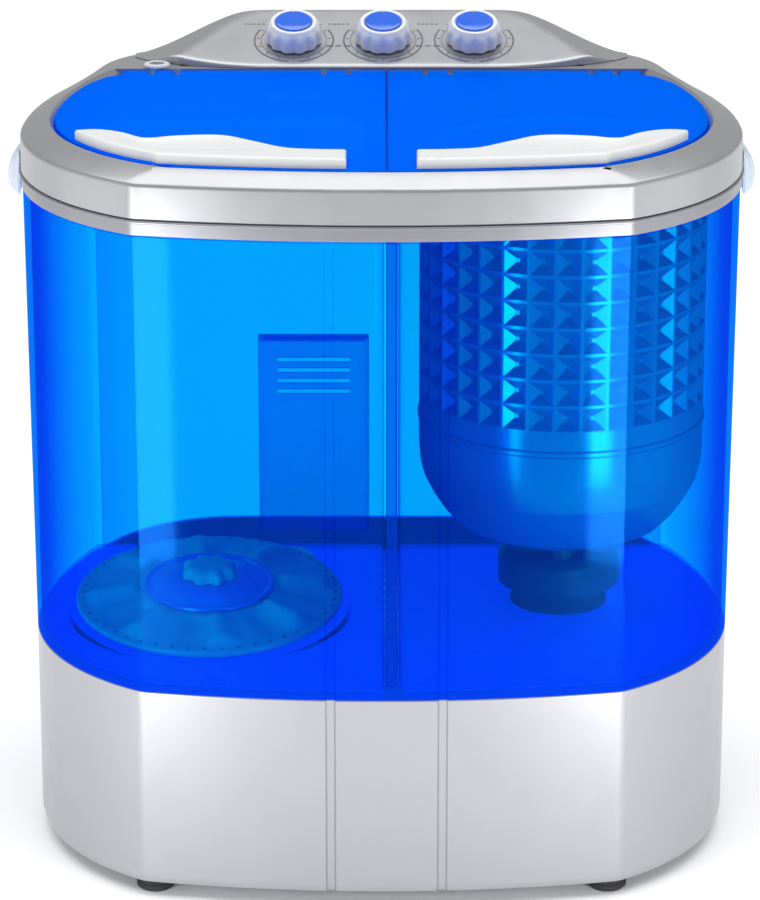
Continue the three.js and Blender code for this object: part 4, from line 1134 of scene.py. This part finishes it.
def spin_basket():
    """A basket with a bowl for its bottom, a thin band above it and rows of square dimples pressed into its wall."""
    radius = 87
    wall = 2.4
    steps = COLUMNS * 2
    points = []
    faces = []

    def ring(r, z):
        start = len(points)
        for i in range(steps):
            a = 2 * math.pi * i / steps
            points.append((SPIN_X + r * math.cos(a), r * math.sin(a), z))
        return start

    def skin(a, b):
        for i in range(steps):
            j = (i + 1) % steps
            faces.append((a + i, a + j, b + j, b + i))

    def face_of_wall(r, depth):
        """The dimpled part of a face: each dimple is a square with its middle pressed in."""
        rows = [ring(r, DIMPLES_LOW + DIMPLES_PITCH * k) for k in range(ROWS + 1)]
        step = 2 * math.pi / COLUMNS
        for k in range(ROWS):
            z = DIMPLES_LOW + DIMPLES_PITCH * (k + 0.5)
            for c in range(COLUMNS):
                a = step * (c + 0.5)
                frame_points = []
                for reach, inner in ((0.88, 0.0), (0.16, depth)):
                    for u, v in ((-1, -1), (0, -1), (1, -1), (1, 0), (1, 1), (0, 1), (-1, 1), (-1, 0)):
                        angle = a + u * reach * step / 2
                        height = z + v * reach * DIMPLES_PITCH / 2
                        rr = r - inner
                        frame_points.append(len(points))
                        points.append((SPIN_X + rr * math.cos(angle), rr * math.sin(angle), height))
                low = [rows[k] + (2 * c + i) % steps for i in range(3)]
                high = [rows[k + 1] + (2 * c + i) % steps for i in range(3)]
                outer_loop = frame_points[:8]
                inner_loop = frame_points[8:]
                corner = [*low, *reversed(high)]
                faces.append((corner[0], corner[1], outer_loop[1], outer_loop[0]))
                faces.append((corner[1], corner[2], outer_loop[2], outer_loop[1]))
                faces.append((corner[2], corner[3], outer_loop[4], outer_loop[3], outer_loop[2]))
                faces.append((corner[3], corner[4], outer_loop[5], outer_loop[4]))
                faces.append((corner[4], corner[5], outer_loop[6], outer_loop[5]))
                faces.append((corner[5], corner[0], outer_loop[0], outer_loop[7], outer_loop[6]))
                for i in range(8):
                    j = (i + 1) % 8
                    faces.append((outer_loop[i], outer_loop[j], inner_loop[j], inner_loop[i]))
                faces.append(tuple(inner_loop))
        return rows[0], rows[-1]

    foot_rings = [ring(r, z) for r, z in ((6.3, 181), (13, 181), (14, 184), *basket_profile(0))]
    band = [ring(r, z) for r, z in ((radius, 256), (radius + 0.9, 257.2), (radius + 0.9, 259.4), (radius, 260.6))]
    outer_low, outer_high = face_of_wall(radius, 4.6)
    rim = [ring(radius, 407.4), ring(radius - 0.5, 408), ring(radius - 1.9, 408), ring(radius - wall, 407.4)]
    inner_low, inner_high = face_of_wall(radius - wall, 4.6)
    inner_foot = [ring(r, z) for r, z in (*reversed(basket_profile(wall)), (14, 187.6), (13, 194), (6.3, 194))]
    chain = [*foot_rings, *band, outer_low]
    for a, b in zip(chain, chain[1:]):
        skin(a, b)
    chain = [outer_high, *rim, inner_high]
    for a, b in zip(chain, chain[1:]):
        skin(a, b)
    chain = [inner_low, *inner_foot, foot_rings[0]]
    for a, b in zip(chain, chain[1:]):
        skin(a, b)
    basket = mesh_piece("spin_basket_look", points, faces)
    return finished(basket, BASKET, "spinner", ["spin_basket"], 12)


def basket_rim():
    z = extent("basket_rim")[0].z
    profile = [(80, z), (88, z, 1), (90, z + 2, 1.5), (90, z + 7, 2), (88, z + 9, 1.5), (82, z + 9, 2), (80, z + 7, 1.5)]
    piece = at_spin("basket_rim_look", profile, 128)
    return finished(piece, WHITE, "spinner", ["basket_rim"])


def spin_coupling():
    """A black cup with rounded shoulders and a crown of lobes that the basket stands on."""
    cup = [
        (6.3, 150), (13, 150), (13, 162), (34, 162), (34, 149), (37.7, 149, 1),
        (37.7, 166, 8), (33, 173.4, 5), (6.3, 173.4),
    ]
    piece = turned("spin_coupling_look", rounded(cup, 0.6, 6), 96, (SPIN_X, 0))
    lobes = []
    for i in range(6):
        a = 2 * math.pi * (i + 0.5) / 6
        lobe = rounded([(0, 170), (9.4, 170, 0), (9.4, 180.4, 3.4), (0, 180.4)], 1, 6, closed=False)
        lobes.append(turned("lobe", lobe, 32, (SPIN_X + 23.5 * math.cos(a), 23.5 * math.sin(a))))
    carved(piece, lobes, "UNION")
    return finished(piece, BLACK, "spinner", ["spin_coupling"])


def spin_seal():
    top = FLOOR_TOP + 0.3
    profile = [(6.6, 126), (14, 126), (20, 129), (24, 131), (24, top), (30, top), (30, 137.6), (26, 138.6)]
    profile += [(22, 139.4), (19.5, 140.2), (18.6, 141.8), (17, 142.4), (16.2, 144), (15, 146), (6.6, 146)]
    return finished(at_spin("spin_seal_look", profile), RUBBER, "casing", ["spin_seal"])


# ---- drain ----
def overflow_cover():
    low, high = extent("overflow_cover")
    outline = [(low.x, low.y), (high.x, low.y), (high.x, high.y), (low.x, high.y)]
    tray = prism("overflow_cover_look", rounded([(x, y, 3 if y < 90 else 0) for x, y in outline], 3, 4), low.z, high.z, 0.8)
    inner = [(low.x + 2, low.y + 2), (high.x - 2, low.y + 2), (high.x - 2, high.y + 3), (low.x + 2, high.y + 3)]
    hollow = prism("hollow", rounded([(x, y, 2 if y < 90 else 0) for x, y in inner], 2, 4), low.z - 2, high.z - 2)
    slots = []
    for i in range(4):
        slots.append(box("slot", low.x + 12, high.x - 12, low.y - 1, low.y + 3, high.z - 15 - 7 * i, high.z - 12 - 7 * i, 0.6))
    carved(tray, [hollow, *slots])
    return finished(tray, COVER_BLUE, "casing", ["overflow_cover"])


def drain_cover():
    low, high = extent("drain_cover")
    z0, z1 = low.z, high.z
    profile = [(0, z0), (16.6, z0), (17, z0 + 0.4), (17, z0 + 1.6), (16.2, z0 + 2.4), (15, z1), (13, z1), (12.4, z1 - 0.5), (0, z1 - 0.3)]
    disc = turned("drain_cover_look", profile, 64, DRAIN_AT)
    slots = []
    for dx in (-8, -4, 0, 4, 8):
        reach = math.sqrt(11**2 - dx**2)
        x, y = DRAIN_AT[0] + dx, DRAIN_AT[1]
        slots.append(box("slot", x - 1, x + 1, y - reach, y + reach, z0 - 1, z1 + 1))
    carved(disc, slots)
    return finished(disc, PALE_GREY, "casing", ["drain_cover"])


# ---- assembly ----
base_housing()
base_plate()
for corner in ("front_left", "front_right", "rear_left", "rear_right"):
    foot(f"foot_{corner}")
rear_cover()
for number in (1, 2):
    cover_screw(f"rear_cover_screw_{number}")
cable_gland()
tub_shell()
partition_web()
trim_band()
top_frame()
water_inlet()
side_grip(-1)
side_grip(1)
for side_name, side_sign in (("wash", -1), ("spin", 1)):
    lid(side_name, side_sign)
    lid_handle(side_name, side_sign)
    hinge_rod(side_name)
lid_switch()
control_panel()
panel_prints()
for knob_name, knob_x in KNOBS.items():
    knob(knob_name, knob_x)
    knob_cap(knob_name, knob_x)
pulsator()
pulsator_dots()
pulsator_cap()
pulsator_knob()
pulsator_screw()
spin_basket()
basket_rim()
spin_coupling()
spin_seal()
overflow_cover()
drain_cover()

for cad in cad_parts.values():
    for place in cad.material_slots:
        place.material = BY_SLOT.get(place.material.name.split(".")[0], GREY)


# ---- stage ----
def floor():
    mesh = bpy.data.meshes.new("floor")
    reach = 12.0
    mesh.from_pydata([(-reach, -reach, 0), (reach, -reach, 0), (reach, reach, 0), (-reach, reach, 0)], [], [(0, 1, 2, 3)])
    piece = bpy.data.objects.new("floor", mesh)
    bpy.context.scene.collection.objects.link(piece)
    piece.data.materials.append(plastic("pale floor", (0.92, 0.92, 0.93), 0.9, 0.0, 0.004, 0.02, 300.0))


def softbox(name, place, aim, width, height, brightness):
    """An area light of an even brightness, placed and aimed in metres."""
    light = bpy.data.lights.new(name, "AREA")
    light.shape = "RECTANGLE"
    light.size = width
    light.size_y = height
    light.energy = brightness * math.pi * width * height
    piece = bpy.data.objects.new(name, light)
    piece.location = place
    piece.rotation_euler = (Vector(aim) - Vector(place)).to_track_quat("-Z", "Y").to_euler()
    bpy.context.scene.collection.objects.link(piece)


def studio():
    world = bpy.data.worlds.new("studio")
    world.use_nodes = True
    background = world.node_tree.nodes["Background"]
    background.inputs["Color"].default_value = (1.0, 1.0, 1.0, 1.0)
    background.inputs["Strength"].default_value = 0.42
    bpy.context.scene.world = world
    softbox("top softbox", (0, 0.4, 6.0), (0, 0, 0), 9.0, 6.0, 2.6)
    for side in (-1, 1):
        softbox(f"front strip {side}", (side * 0.42, -0.60, 0.14), (side * 0.12, -0.15, 0.14), 0.2, 0.26, 14.0)
        softbox(f"side softbox {side}", (side * 0.64, -0.16, 0.3), (side * 0.2, -0.1, 0.3), 0.4, 0.6, 0.5)


def camera():
    lens = bpy.data.cameras.new("camera")
    lens.lens = 163.1
    lens.sensor_width = 36
    lens.shift_x = -0.0017
    piece = bpy.data.objects.new("camera", lens)
    piece.location = (0, -2.380, 1.0336)
    piece.rotation_euler = (math.radians(71.4), 0, 0)
    bpy.context.scene.collection.objects.link(piece)
    bpy.context.scene.camera = piece


floor()
studio()
camera()
bpy.context.scene.view_settings.view_transform = "Standard"
bpy.context.scene.cycles.transparent_max_bounces = 40
